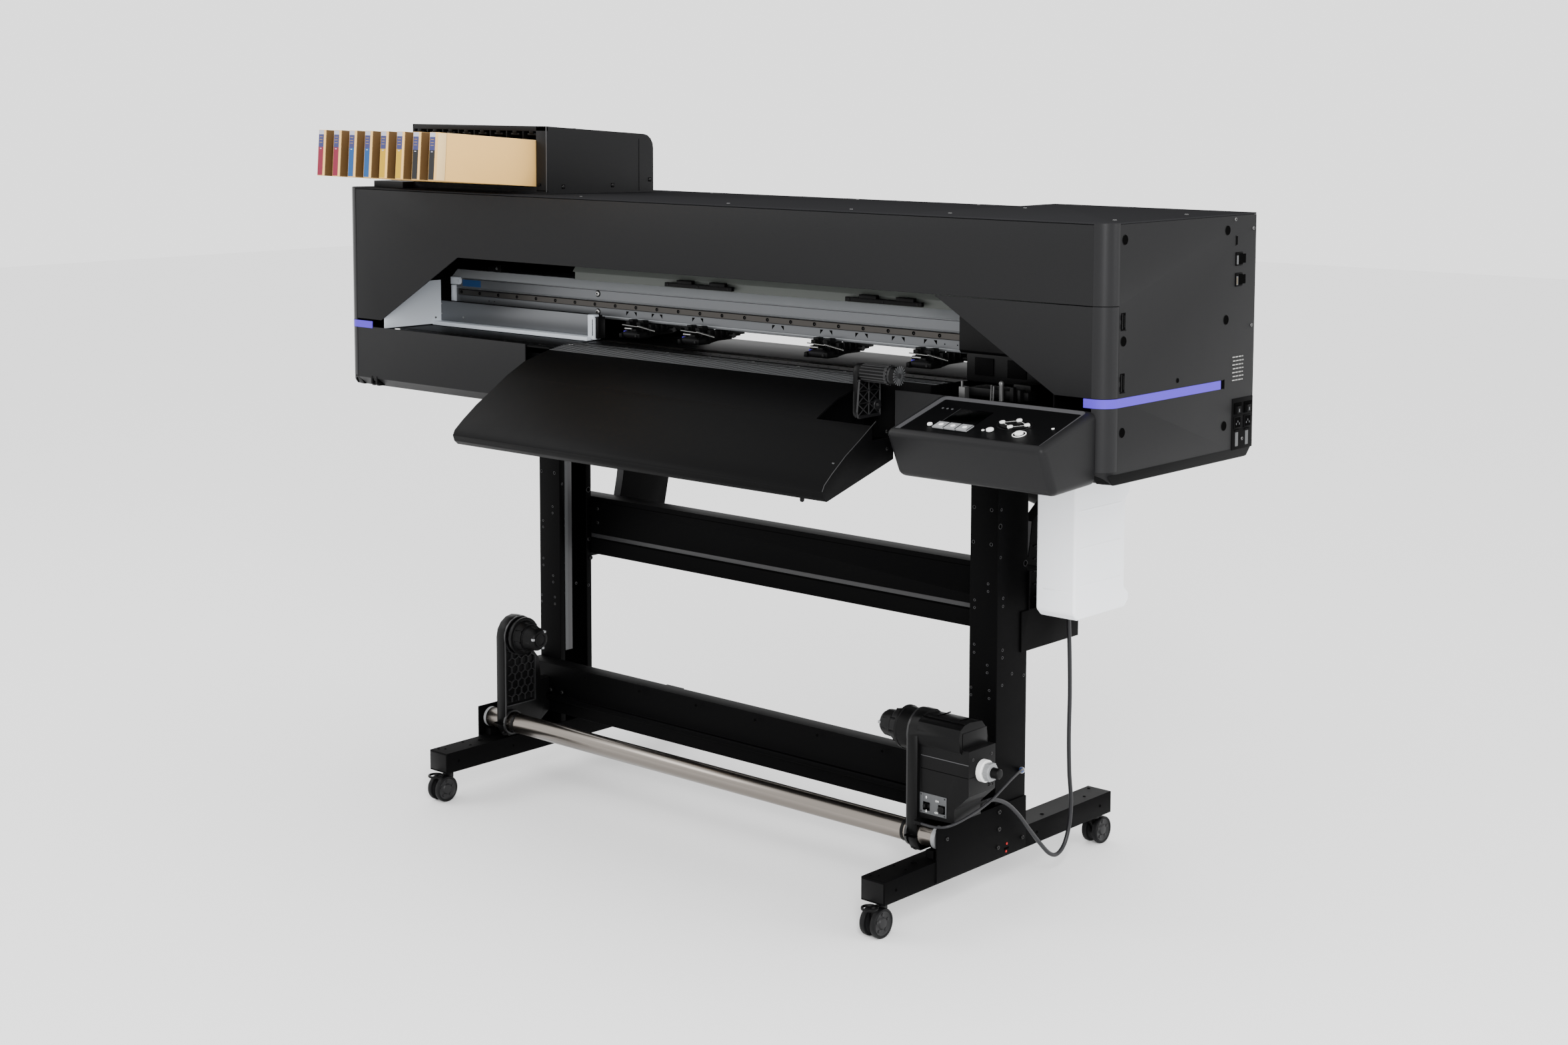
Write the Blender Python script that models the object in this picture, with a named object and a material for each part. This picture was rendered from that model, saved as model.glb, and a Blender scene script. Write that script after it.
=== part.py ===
"""Wide-format printer cutter on a castor stand, with ink cartridges and a media take-up.

Metres, +Z up, +X to the right of the operator, -Y towards the operator.
The origin is on the floor under the middle of the machine.
Depths are counted backwards from the front face of the body with back(depth).
"""
import math

import bmesh
import bpy
from mathutils import Matrix, Vector

# ---------------------------------------------------------------- clearances
GAP = 0.0003            # between pieces that touch
RUN = 0.0005            # around a shaft or slide that runs
SKIN = 0.003            # wall of the moulded covers
PLATE = 0.003           # folded steel plate

# ---------------------------------------------------------------- body
BODY_WIDTH = 1.965
BODY_DEPTH = 0.463
BODY_TOP = 1.248
BODY_BOTTOM = 0.818
CORNER_RADIUS = 0.030
TOP_DROP = 0.007        # fall of the top from front to rear, left of the step
TOP_STEP_X = 0.555      # step up to the flat lid over the carriage station
CORNER_WIDTH = 0.0307   # width of the rounded corner strips at each end of the front
CHAMFER_DEPTH = 0.024   # lower edge of the covers, along Y
CHAMFER_HEIGHT = 0.019  # lower edge of the covers, along Z
BASE_Z = 0.840          # underside of the base plate
COVER_SEAM_Z = 1.112    # between the front cover and the maintenance cover
BAND_LOW = 0.945
BAND_HIGH = 0.9604
WINDOW_LEFT_LOW_X = -0.8708
WINDOW_LEFT_TOP_X = -0.6186
DOOR_LOW_X = 0.879
DOOR_TOP_X = 0.6272
LEFT_LOWER_END_X = -0.4135
RIGHT_LOWER_START_X = 0.543
FRAME_INSIDE_X = 0.868  # inner faces of the two side frames

# ---------------------------------------------------------------- media path
PLATEN_Z = 0.948
DECK_Z = 0.945
PLATEN_LEFT = -0.345
PLATEN_RIGHT = 0.600
PLATEN_FRONT = 0.045
PLATEN_REAR = 0.175
PLATEN_SLAB = 0.024
GUIDE_RIGHT = 0.590
GUIDE_NOSE = -0.250     # how far the front paper guide reaches ahead of the body
FEED_RADIUS = 0.010
FEED_DEPTH = 0.150
BEAM_FRONT = 0.195
BEAM_DEPTH = 0.105
BEAM_LOW = 0.987
BEAM_HEIGHT = 0.076
RAIL_LOW = 1.010
RAIL_HEIGHT = 0.013
RAIL_PROUD = 0.009
CARRIAGE_LEFT = 0.606
CARRIAGE_WIDTH = 0.240
PINCH_BAR_DEPTH = 0.215
PINCH_BAR_Z = 0.975
PINCH_XS = (-0.265, -0.100, 0.232, 0.478)
SLOT_LOW = 0.924
SLOT_HIGH = 0.996

# ---------------------------------------------------------------- stand
FOOT_LENGTH = 0.700
FOOT_WIDTH = 0.053
FOOT_HEIGHT = 0.042
FOOT_Z = 0.062
FOOT_FRONT = -0.122
STAND_X = 0.018
LEG_SPACING = 1.152
LEG_WIDTH = 0.0624
LEG_DEPTH = 0.093
LEG_FRONT = 0.197
UPSTAND_FRONT = 0.020
UPSTAND_TOP = 0.164
UPPER_BEAM_LOW = 0.460
UPPER_BEAM_HEIGHT = 0.125
LOWER_BEAM_LOW = 0.140
LOWER_BEAM_HEIGHT = 0.103
LOWER_BEAM_DEPTH = 0.040
REAR_RAIL_DEPTH = 0.430
WHEEL_RADIUS = 0.0265
WHEEL_WIDTH = 0.0115
WHEEL_SPLIT = 0.0120    # clear width between the two wheels of a castor
CASTOR_TRAIL = 0.018
CASTOR_INSET = 0.028
WHEEL_SIDES = 24

# ---------------------------------------------------------------- take-up and feed units
ROLL_DEPTH = 0.070      # axis of the take-up roll
ROLL_Z = 0.320
HEAD_RADIUS = 0.042
FLANGE_RADIUS = 0.039
FLANGE_REACH = 0.055
LEFT_HUB = 0.013
RIGHT_HUB = 0.029
LEFT_ARM_X = -0.541
RIGHT_ARM_X = 0.555
ARM_THICK = 0.022
TUBE_DEPTH = 0.050
TUBE_Z = 0.138
TUBE_RADIUS = 0.020
TUBE_LEFT = -0.585
TUBE_RIGHT = 0.612
MOTOR_RIGHT = 0.685
MOTOR_FRONT = 0.036
MOTOR_REAR = 0.114
LIMITER_DEPTH = 0.074
LIMITER_Z = 0.271
SWITCH_TOGGLE_X = 0.5925
SWITCH_PUSH_X = 0.6265
SWITCH_Z = 0.1955
WELL_DEPTH = 0.009
FEED_ROLL_DEPTH = 0.462
FEED_ROLL_Z = 0.700

# ---------------------------------------------------------------- ink unit
INK_LEFT = -0.830
INK_RIGHT = -0.412
INK_FRONT = 0.061
INK_BACK = 0.3685
INK_TOP_FRONT = 1.385
INK_TILT = math.radians(4.3)
INK_SKIN = 0.003
CARTRIDGE_COUNT = 8
CARTRIDGE_PITCH = 0.0502
CARTRIDGE_FIRST_X = -0.8085
CARTRIDGE_WIDTH = 0.0245
CARTRIDGE_HEIGHT = 0.094
CARTRIDGE_LENGTH = 0.384
CARTRIDGE_FRONT = -0.200
CARTRIDGE_FRONT_Z = 1.282

# ---------------------------------------------------------------- operation panel
PANEL_LEFT = 0.639
PANEL_RIGHT = 0.960
PANEL_REACH = 0.150
PANEL_FRONT_Z = 0.895
PANEL_BACK_Z = 0.9395
PANEL_BOTTOM_Z = 0.8125
PANEL_RECESS = 0.003
KEY_FLOAT = 0.0009      # clear travel under a key
KEY_HEIGHT = 0.0032

# ---------------------------------------------------------------- waste ink tank
TANK_LEFT = 0.671
TANK_WIDTH = 0.084
TANK_FRONT = 0.250
TANK_DEPTH = 0.178
TANK_LOW = 0.515
TANK_HEIGHT = 0.230

# the machine is centred front to back on the origin
REAR_REACH = FOOT_FRONT + FOOT_LENGTH - CASTOR_INSET + CASTOR_TRAIL + WHEEL_RADIUS
FRONT_Y = -(REAR_REACH + GUIDE_NOSE) / 2.0


def back(depth):
    """World Y of a place this far behind the front face of the body."""
    return FRONT_Y + depth


# ================================================================ helpers
def clear_scene():
    for obj in list(bpy.data.objects):
        bpy.data.objects.remove(obj, do_unlink=True)


clear_scene()
PARTS = bpy.data.collections.new("printer_cutter")
CUTTERS = bpy.data.collections.new("cutters")
bpy.context.scene.collection.children.link(PARTS)
bpy.context.scene.collection.children.link(CUTTERS)


def make_material(name, colour, roughness, metallic=0.0):
    material = bpy.data.materials.new(name)
    material.use_nodes = True
    shader = material.node_tree.nodes["Principled BSDF"]
    shader.inputs["Base Color"].default_value = (*colour, 1.0)
    shader.inputs["Roughness"].default_value = roughness
    shader.inputs["Metallic"].default_value = metallic
    return material


CHARCOAL = make_material("charcoal_cover", (0.032, 0.033, 0.035), 0.55)
BLACK_STEEL = make_material("black_steel", (0.012, 0.012, 0.013), 0.45)
BLACK_PLASTIC = make_material("black_plastic", (0.015, 0.015, 0.016), 0.4)
WHITE_STEEL = make_material("white_steel", (0.75, 0.77, 0.80), 0.5)
ALUMINIUM = make_material("aluminium", (0.62, 0.64, 0.66), 0.35, 1.0)
STAINLESS = make_material("stainless_tube", (0.62, 0.58, 0.53), 0.3, 1.0)
CARDBOARD = make_material("cartridge_case", (0.95, 0.80, 0.52), 0.7)
TANK_WHITE = make_material("tank_white", (0.93, 0.95, 0.97), 0.5)
KEY_WHITE = make_material("key_white", (0.9, 0.9, 0.9), 0.5)
CASTOR_GREY = make_material("castor_tread", (0.05, 0.05, 0.052), 0.5)
CABLE_GREY = make_material("cable_sheath", (0.06, 0.06, 0.065), 0.45)


def add_object(name, mesh, material, collection=None):
    obj = bpy.data.objects.new(name, mesh)
    (collection or PARTS).objects.link(obj)
    if material is not None:
        mesh.materials.append(material)
    return obj


def box(name, low, high, material=None):
    """A block from its low corner to its high corner."""
    bm = bmesh.new()
    bmesh.ops.create_cube(bm, size=1.0)
    size = [high[i] - low[i] for i in range(3)]
    middle = [(high[i] + low[i]) / 2.0 for i in range(3)]
    bmesh.ops.scale(bm, vec=size, verts=bm.verts)
    bmesh.ops.translate(bm, vec=middle, verts=bm.verts)
    mesh = bpy.data.meshes.new(name)
    bm.to_mesh(mesh)
    bm.free()
    return add_object(name, mesh, material)


AXIS_TURN = {
    "X": Matrix(((0, 0, 1), (1, 0, 0), (0, 1, 0))),    # outline in Y, Z
    "Y": Matrix(((1, 0, 0), (0, 0, -1), (0, 1, 0))),   # outline in X, Z
    "Z": Matrix.Identity(3),                           # outline in X, Y
}


def prism(name, outline, axis, start, end, material=None, holes=()):
    """A flat outline, made as a filled 2D curve, that runs along one axis."""
    curve = bpy.data.curves.new(name, "CURVE")
    curve.dimensions = "2D"
    curve.fill_mode = "BOTH"
    curve.extrude = abs(end - start) / 2.0
    for loop in (outline, *holes):
        spline = curve.splines.new("POLY")
        spline.points.add(len(loop) - 1)
        for point, (a, b) in zip(spline.points, loop):
            point.co = (a, b, 0.0, 1.0)
        spline.use_cyclic_u = True
    source = bpy.data.objects.new(name + "_outline", curve)
    CUTTERS.objects.link(source)
    bpy.context.view_layer.update()
    depsgraph = bpy.context.evaluated_depsgraph_get()
    mesh = bpy.data.meshes.new_from_object(source.evaluated_get(depsgraph))
    bpy.data.objects.remove(source, do_unlink=True)
    middle = (start + end) / 2.0
    along = AXIS_TURN[axis] @ Vector((0, 0, 1))
    place = Matrix.Translation(along * (middle if axis != "Y" else -middle)) @ AXIS_TURN[axis].to_4x4()
    bm = bmesh.new()
    bm.from_mesh(mesh)
    bmesh.ops.remove_doubles(bm, verts=bm.verts, dist=0.00001)
    bmesh.ops.transform(bm, matrix=place, verts=bm.verts)
    bmesh.ops.recalc_face_normals(bm, faces=bm.faces)
    bm.to_mesh(mesh)
    bm.free()
    mesh.materials.clear()
    mesh.name = name
    return add_object(name, mesh, material)


def rod(name, start, end, radius, sides=20, material=None, radius_end=None, turn=0.0):
    """A round bar or cone between two points."""
    start = Vector(start)
    end = Vector(end)
    along = end - start
    bm = bmesh.new()
    bmesh.ops.create_cone(bm, cap_ends=True, segments=sides, radius1=radius,
                          radius2=radius if radius_end is None else radius_end, depth=along.length)
    bmesh.ops.rotate(bm, cent=(0, 0, 0), matrix=Matrix.Rotation(turn, 3, "Z"), verts=bm.verts)
    facing = Vector((0, 0, 1)).rotation_difference(along.normalized()).to_matrix().to_4x4()
    bmesh.ops.transform(bm, matrix=Matrix.Translation((start + end) / 2.0) @ facing, verts=bm.verts)
    mesh = bpy.data.meshes.new(name)
    bm.to_mesh(mesh)
    bm.free()
    return add_object(name, mesh, material)


def boolean(obj, other, operation):
    """Join or cut with a live EXACT Boolean; the other piece becomes a hidden tool."""
    modifier = obj.modifiers.new(operation.lower(), "BOOLEAN")
    modifier.operation = operation
    modifier.solver = "EXACT"
    modifier.object = other
    other.hide_render = True
    other.display_type = "WIRE"
    for collection in list(other.users_collection):
        collection.objects.unlink(other)
    CUTTERS.objects.link(other)


def join(obj, *others):
    for other in others:
        boolean(obj, other, "UNION")
    return obj


def cut(obj, *others):
    for other in others:
        boolean(obj, other, "DIFFERENCE")
    return obj


def set_origin(obj, point):
    """Put a moving piece's origin on its joint axis without moving its shape."""
    point = Vector(point)
    obj.data.transform(Matrix.Translation(-point))
    obj.location = point
    return obj


def arc(centre_a, centre_b, radius, start_deg, end_deg, steps):
    """Points on a circular arc, ends included."""
    points = []
    for i in range(steps + 1):
        angle = math.radians(start_deg + (end_deg - start_deg) * i / steps)
        points.append((centre_a + radius * math.cos(angle), centre_b + radius * math.sin(angle)))
    return points


def cable(name, points, radius, material, spacing):
    """A round cable along a smooth curve through its route points."""
    route = [Vector(p) for p in points]
    ends = [route[0] * 2 - route[1]] + route + [route[-1] * 2 - route[-2]]
    smooth = []
    for i in range(1, len(ends) - 2):
        a, b, c, d = ends[i - 1:i + 3]
        steps = max(2, round((c - b).length / spacing))
        for k in range(steps):
            t = k / steps
            smooth.append(0.5 * (2 * b + (c - a) * t + (2 * a - 5 * b + 4 * c - d) * t * t
                                 + (3 * b - a - 3 * c + d) * t * t * t))
    smooth.append(route[-1])
    curve = bpy.data.curves.new(name, "CURVE")
    curve.dimensions = "3D"
    curve.bevel_depth = radius
    curve.bevel_resolution = 2
    curve.use_fill_caps = True
    spline = curve.splines.new("POLY")
    spline.points.add(len(smooth) - 1)
    for point, place in zip(spline.points, smooth):
        point.co = (*place, 1.0)
    obj = bpy.data.objects.new(name, curve)
    curve.materials.append(material)
    PARTS.objects.link(obj)
    return obj


# ================================================================ stand
FOOT_TOP = FOOT_Z + FOOT_HEIGHT


def stand_x(side):
    """Middle of the left (-1) or right (+1) leg."""
    return STAND_X + side * LEG_SPACING / 2.0


def foot_x(side):
    """Middle of a foot: both feet line up with the right-hand face of their leg."""
    return stand_x(side) + (LEG_WIDTH - FOOT_WIDTH) / 2.0 + GAP


def make_foot(name, side):
    """Inverted channel with closed ends, an outer upstand that holds the leg, and a tube cradle."""
    x = foot_x(side)
    half = FOOT_WIDTH / 2.0
    front = back(FOOT_FRONT)
    rear = front + FOOT_LENGTH
    foot = box(name, (x - half, front, FOOT_Z), (x + half, rear, FOOT_TOP), BLACK_STEEL)
    hollow = box(name + "_hollow", (x - half + PLATE, front + PLATE, FOOT_Z - 0.01),
                 (x + half - PLATE, rear - PLATE, FOOT_TOP - PLATE))
    ends = []
    for end, depth in (("front", FOOT_FRONT + CASTOR_INSET),
                       ("rear", FOOT_FRONT + FOOT_LENGTH - CASTOR_INSET)):
        ends.append(rod(name + "_" + end + "_socket", (x, back(depth), FOOT_Z),
                        (x, back(depth), FOOT_TOP - PLATE / 2.0), 0.012, 12))
    low = FOOT_Z + 0.004
    start = back(UPSTAND_FRONT)
    end = back(LEG_FRONT + LEG_DEPTH)
    outside = stand_x(side) + side * (LEG_WIDTH / 2.0 + GAP)
    face = outside + side * PLATE
    upstand = box(name + "_upstand", (min(outside, face), start, low), (max(outside, face), end, UPSTAND_TOP))
    # a spacer joins the middle of the upstand's sheet to the middle of the foot's wall
    seat = x + side * (half - PLATE / 2.0)
    sheet = outside + side * PLATE / 2.0
    tie = box(name + "_tie", (min(seat, sheet), start, low), (max(seat, sheet), end, FOOT_TOP - 0.001))
    tube_end = TUBE_LEFT if side < 0 else TUBE_RIGHT
    cradle = box(name + "_cradle",
                 (min(tube_end, tube_end - side * 0.018), back(TUBE_DEPTH - 0.018), FOOT_TOP - PLATE / 2),
                 (max(tube_end, tube_end - side * 0.018), back(TUBE_DEPTH + 0.018),
                  TUBE_Z - TUBE_RADIUS - GAP))
    cut(foot, hollow)
    join(foot, *ends, tie, upstand, cradle)
    return foot


def make_leg(name, side):
    """Channel that is open towards the middle of the stand."""
    x = stand_x(side)
    half = LEG_WIDTH / 2.0
    wall = PLATE
    lip = 0.014
    front = back(LEG_FRONT)
    rear = front + LEG_DEPTH
    outer = x + side * half
    inner = x - side * half
    outline = [(inner, front), (outer, front), (outer, rear), (inner, rear), (inner, rear - lip),
               (inner + side * wall, rear - lip), (inner + side * wall, rear - wall),
               (outer - side * wall, rear - wall), (outer - side * wall, front + wall),
               (inner + side * wall, front + wall), (inner + side * wall, front + lip),
               (inner, front + lip)]
    return prism(name, outline, "Z", FOOT_TOP + GAP, BASE_Z - GAP, BLACK_STEEL)


def make_upper_beam():
    """Rear cross beam, its end plates, and the rail of the media feed arms."""
    left = stand_x(-1) - LEG_WIDTH / 2.0 - GAP
    right = stand_x(1) + LEG_WIDTH / 2.0 + GAP
    face = back(LEG_FRONT + LEG_DEPTH) + GAP
    low = UPPER_BEAM_LOW
    high = low + UPPER_BEAM_HEIGHT
    depth = 0.045
    outline = [(face, low), (face, high), (face + depth, high), (face + depth, high - PLATE),
               (face + PLATE, high - PLATE), (face + PLATE, low + PLATE), (face + depth, low + PLATE),
               (face + depth, low)]
    beam = prism("upper_beam", outline, "X", left - PLATE, right + PLATE, BLACK_STEEL)
    rail = box("upper_beam_rail", (left - PLATE, back(REAR_RAIL_DEPTH), 0.442),
               (right + PLATE, back(REAR_RAIL_DEPTH) + 0.020, 0.506))
    plates = [box("upper_beam_plate_" + str(i), (x, back(0.268), 0.436), (x + PLATE, back(0.452), 0.512))
              for i, x in enumerate((left - PLATE, right))]
    return join(beam, rail, *plates)


def make_lower_beam():
    """Front cross beam with the ledge that carries the take-up arms."""
    left = stand_x(-1) - LEG_WIDTH / 2.0
    right = stand_x(1) + LEG_WIDTH / 2.0
    rear = back(LEG_FRONT) - GAP
    web = rear - LOWER_BEAM_DEPTH
    low = LOWER_BEAM_LOW
    high = low + LOWER_BEAM_HEIGHT
    outline = [(rear, high), (web, high), (web, LEDGE_HIGH), (web - LEDGE_PROUD, LEDGE_HIGH),
               (web - LEDGE_PROUD, LEDGE_LOW), (web, LEDGE_LOW), (web, low), (rear, low),
               (rear, low + PLATE), (web + PLATE, low + PLATE), (web + PLATE, high - PLATE),
               (rear, high - PLATE)]
    return prism("lower_beam", outline, "X", left, right, BLACK_STEEL)


LEDGE_HIGH = 0.179
LEDGE_LOW = 0.168
LEDGE_PROUD = 0.009


def make_castor(name, side, end):
    """Twin-wheel castor: a swivelling yoke and two wheels on one axle."""
    x = foot_x(side)
    inset = CASTOR_INSET if end < 0 else FOOT_LENGTH - CASTOR_INSET
    stem_y = back(FOOT_FRONT + inset)
    wheel_y = stem_y + end * CASTOR_TRAIL
    half = WHEEL_SPLIT / 2.0 - 0.0008
    outline = [(stem_y - end * 0.007, 0.0545), (stem_y - end * 0.007, 0.045),
               (wheel_y - end * 0.011, WHEEL_RADIUS), (wheel_y + end * 0.011, WHEEL_RADIUS),
               (wheel_y + end * 0.012, 0.047), (wheel_y + end * 0.005, 0.0545)]
    yoke = prism(name + "_yoke", outline, "X", x - half, x + half, BLACK_PLASTIC)
    stem = rod(name + "_stem", (x, stem_y, 0.050), (x, stem_y, FOOT_Z - GAP), 0.006, 12)
    hub = rod(name + "_hub", (x - half, wheel_y, WHEEL_RADIUS), (x + half, wheel_y, WHEEL_RADIUS), 0.011, 12)
    bore = rod(name + "_bore", (x - half - 0.001, wheel_y, WHEEL_RADIUS),
               (x + half + 0.001, wheel_y, WHEEL_RADIUS), 0.0033, 12)
    join(yoke, stem, hub)
    cut(yoke, bore)
    set_origin(yoke, (x, stem_y, FOOT_Z))
    flat = math.pi / WHEEL_SIDES
    rim = WHEEL_RADIUS / math.cos(flat)
    inside = WHEEL_SPLIT / 2.0
    outside = inside + WHEEL_WIDTH
    wheels = rod(name + "_wheels", (x + inside, wheel_y, WHEEL_RADIUS), (x + outside, wheel_y, WHEEL_RADIUS),
                 rim, WHEEL_SIDES, CASTOR_GREY, turn=flat)
    other = rod(name + "_other", (x - outside, wheel_y, WHEEL_RADIUS), (x - inside, wheel_y, WHEEL_RADIUS),
                rim, WHEEL_SIDES, turn=flat)
    axle = rod(name + "_axle", (x - inside - 0.002, wheel_y, WHEEL_RADIUS),
               (x + inside + 0.002, wheel_y, WHEEL_RADIUS), 0.003, 10)
    join(wheels, other, axle)
    set_origin(wheels, (x, wheel_y, WHEEL_RADIUS))


def make_stand():
    make_foot("left_foot", -1)
    make_foot("right_foot", 1)
    make_leg("left_leg", -1)
    make_leg("right_leg", 1)
    make_upper_beam()
    make_lower_beam()
    for side_name, side in (("left", -1), ("right", 1)):
        for end_name, end in (("front", -1), ("rear", 1)):
            make_castor(end_name + "_" + side_name + "_castor", side, end)


# ================================================================ body
HALF_BODY = BODY_WIDTH / 2.0
COVER_TOP = BODY_TOP - SKIN - GAP
BASE_TOP = BASE_Z + PLATE


def make_chassis():
    """Base plate, two side frames, rear sheet, front sill and the waste tank hanger."""
    inside = HALF_BODY - SKIN - GAP
    corner = HALF_BODY - CORNER_WIDTH - GAP
    front = back(SKIN + GAP)
    rear = back(BODY_DEPTH - SKIN - GAP)
    turn = back(CORNER_RADIUS + GAP)
    plan = [(-corner, front), (corner, front), (inside, turn), (inside, rear), (-inside, rear), (-inside, turn)]
    chassis = prism("chassis", plan, "Z", BASE_Z, BASE_TOP, WHITE_STEEL)
    pieces = []
    for side in (-1, 1):
        face = side * FRAME_INSIDE_X
        pieces.append(box("side_frame", (min(face, face + side * PLATE), back(0.012), BASE_TOP - PLATE / 2),
                          (max(face, face + side * PLATE), back(BODY_DEPTH - 0.020), 1.235)))
    pieces.append(box("rear_sheet", (-FRAME_INSIDE_X - PLATE / 2, back(0.166), 0.951),
                      (-0.363, back(0.166 + PLATE), 0.998)))
    pieces.append(box("front_sill", (-0.420, back(0.014), BASE_TOP - PLATE / 2),
                      (0.460, back(0.014 + PLATE), 0.930)))
    pieces.append(box("lever_lug", (0.457, back(0.014), BASE_TOP - PLATE / 2), (0.460, back(0.042), 0.930)))
    middle_x = TANK_LEFT + TANK_WIDTH / 2.0
    neck_y = back(TANK_FRONT + 0.060)
    top = TANK_LOW + TANK_HEIGHT
    pieces.append(box("hanger_back", (TANK_LEFT - 0.004, neck_y - 0.030, top + 0.016),
                      (TANK_LEFT - 0.001, neck_y + 0.030, BASE_Z + PLATE / 2)))
    pieces.append(box("hanger_shelf", (TANK_LEFT - 0.004, neck_y - 0.030, top + 0.016),
                      (middle_x + 0.022, neck_y + 0.030, top + 0.019)))
    join(chassis, *pieces)
    slot = box("hanger_slot", (middle_x - 0.0165, neck_y - 0.0165, top + 0.01),
               (middle_x + 0.05, neck_y + 0.0165, top + 0.03))
    return cut(chassis, slot)


def make_side_cover(name, side):
    """Side panel with a rounded front corner strip; the corner of the right one is cut for the door."""
    outer = side * HALF_BODY
    centre = (outer - side * CORNER_RADIUS, back(CORNER_RADIUS))
    tip = side * (HALF_BODY - CORNER_WIDTH)
    start, end = (180, 270) if side < 0 else (0, -90)
    outside = arc(*centre, CORNER_RADIUS, start, end, 6)
    inside = arc(*centre, CORNER_RADIUS - SKIN, end, start, 6)
    outline = ([(outer, back(BODY_DEPTH))] + outside + [(tip, back(0.0)), (tip, back(SKIN))] + inside
               + [(outer - side * SKIN, back(BODY_DEPTH))])
    cover = prism(name, outline, "Z", BODY_BOTTOM, COVER_TOP, CHARCOAL)
    low = BODY_BOTTOM - 0.001
    for label, edge, inward in (("front", 0.0, 1), ("rear", BODY_DEPTH, -1)):
        wedge = [(back(edge) - inward * 0.001, low), (back(edge) + inward * CHAMFER_DEPTH, low),
                 (back(edge) - inward * 0.001, BODY_BOTTOM + CHAMFER_HEIGHT + 0.001)]
        cut(cover, prism(name + "_chamfer_" + label, wedge, "X", outer - 0.05, outer + 0.05))
    if side < 0:
        above = [(back(0.0), BODY_TOP + 0.02), (back(0.0), COVER_TOP),
                 (back(BODY_DEPTH) + 0.01, COVER_TOP - TOP_DROP), (back(BODY_DEPTH) + 0.01, BODY_TOP + 0.02)]
        cut(cover, prism(name + "_slope", above, "X", outer - 0.05, outer + 0.05))
    if side > 0:
        cut(cover, box(name + "_door_gap", (tip - 0.01, back(-0.01), BAND_HIGH),
                       (outer + 0.01, back(CORNER_RADIUS + 0.0015), COVER_SEAM_Z)))
    return cover


def lower_sheet(top):
    """Side view of a lower front cover: an upright sheet with a chamfered foot."""
    foot = BODY_BOTTOM + CHAMFER_HEIGHT
    return [(back(0), top), (back(0), foot), (back(CHAMFER_DEPTH), BODY_BOTTOM),
            (back(CHAMFER_DEPTH + SKIN * 0.8), BODY_BOTTOM + SKIN * 0.8), (back(SKIN), foot + SKIN * 0.5),
            (back(SKIN), top)]


def make_covers():
    tip = HALF_BODY - CORNER_WIDTH
    make_side_cover("left_side_cover", -1)
    make_side_cover("right_side_cover", 1)
    prism("left_lower_cover", lower_sheet(0.948), "X", -tip + GAP, LEFT_LOWER_END_X, CHARCOAL)
    prism("right_lower_cover", lower_sheet(0.939), "X", RIGHT_LOWER_START_X, tip - GAP, CHARCOAL)
    corner = HALF_BODY - CORNER_RADIUS
    front = back(CORNER_RADIUS)
    plan = ([(-HALF_BODY, back(BODY_DEPTH))] + arc(-corner, front, CORNER_RADIUS, 180, 270, 6)
            + arc(corner, front, CORNER_RADIUS, 270, 360, 6) + [(HALF_BODY, back(BODY_DEPTH))])
    make_top_cover(plan)
    rear_half = HALF_BODY - SKIN - GAP
    rear = box("rear_cover", (-rear_half, back(BODY_DEPTH - SKIN), BODY_BOTTOM + CHAMFER_HEIGHT + 0.001),
               (rear_half, back(BODY_DEPTH), COVER_TOP), CHARCOAL)
    slot = box("rear_cover_slot", (PLATEN_LEFT - 0.015, back(BODY_DEPTH) - 0.02, SLOT_LOW),
               (PLATEN_RIGHT + 0.015, back(BODY_DEPTH) + 0.02, SLOT_HIGH))
    tall = box("rear_cover_step", (-HALF_BODY, back(BODY_DEPTH) - 0.02, COVER_TOP - TOP_DROP),
               (TOP_STEP_X + SKIN + GAP, back(BODY_DEPTH) + 0.02, BODY_TOP))
    cut(rear, slot, tall)


def top_slope(low, high):
    """Side view of a layer under the sloping part of the top, by its heights below the top."""
    return [(back(0.0), BODY_TOP - high), (back(0.0), BODY_TOP - low),
            (back(BODY_DEPTH), BODY_TOP - TOP_DROP - low), (back(BODY_DEPTH), BODY_TOP - TOP_DROP - high)]


def make_top_cover(plan):
    """Top: it falls gently to the rear, up to a step beside the flat lid over the carriage station."""
    top = prism("top_cover", plan, "Z", BODY_TOP - 0.02, BODY_TOP, CHARCOAL)
    layer = prism("top_cover_layer", top_slope(0.0, SKIN), "X", -HALF_BODY - 0.01, TOP_STEP_X)
    lid = box("top_cover_lid", (TOP_STEP_X, back(-0.01), BODY_TOP - SKIN),
              (HALF_BODY + 0.01, back(BODY_DEPTH) + 0.01, BODY_TOP + 0.01))
    wall = [(back(0.0), BODY_TOP - SKIN), (back(0.0), BODY_TOP), (back(BODY_DEPTH), BODY_TOP),
            (back(BODY_DEPTH), BODY_TOP - TOP_DROP - SKIN)]
    rise = prism("top_cover_rise", wall, "X", TOP_STEP_X - 0.001, TOP_STEP_X + SKIN)
    join(layer, lid, rise)
    boolean(top, layer, "INTERSECT")
    return top


def make_front_cover():
    """Lift-up front cover, with the left end that drops beside the window."""
    tip = HALF_BODY - CORNER_WIDTH - GAP
    low = BAND_HIGH + 0.004
    outline = [(-tip, FRONT_COVER_TOP), (-tip, low), (WINDOW_LEFT_LOW_X, low),
               (WINDOW_LEFT_TOP_X, COVER_SEAM_Z), (tip, COVER_SEAM_Z), (tip, FRONT_COVER_TOP)]
    cover = prism("front_cover", outline, "Y", back(0.0), back(SKIN), CHARCOAL)
    return set_origin(cover, (0.0, FRONT_HINGE_Y, FRONT_HINGE_Z))


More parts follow.
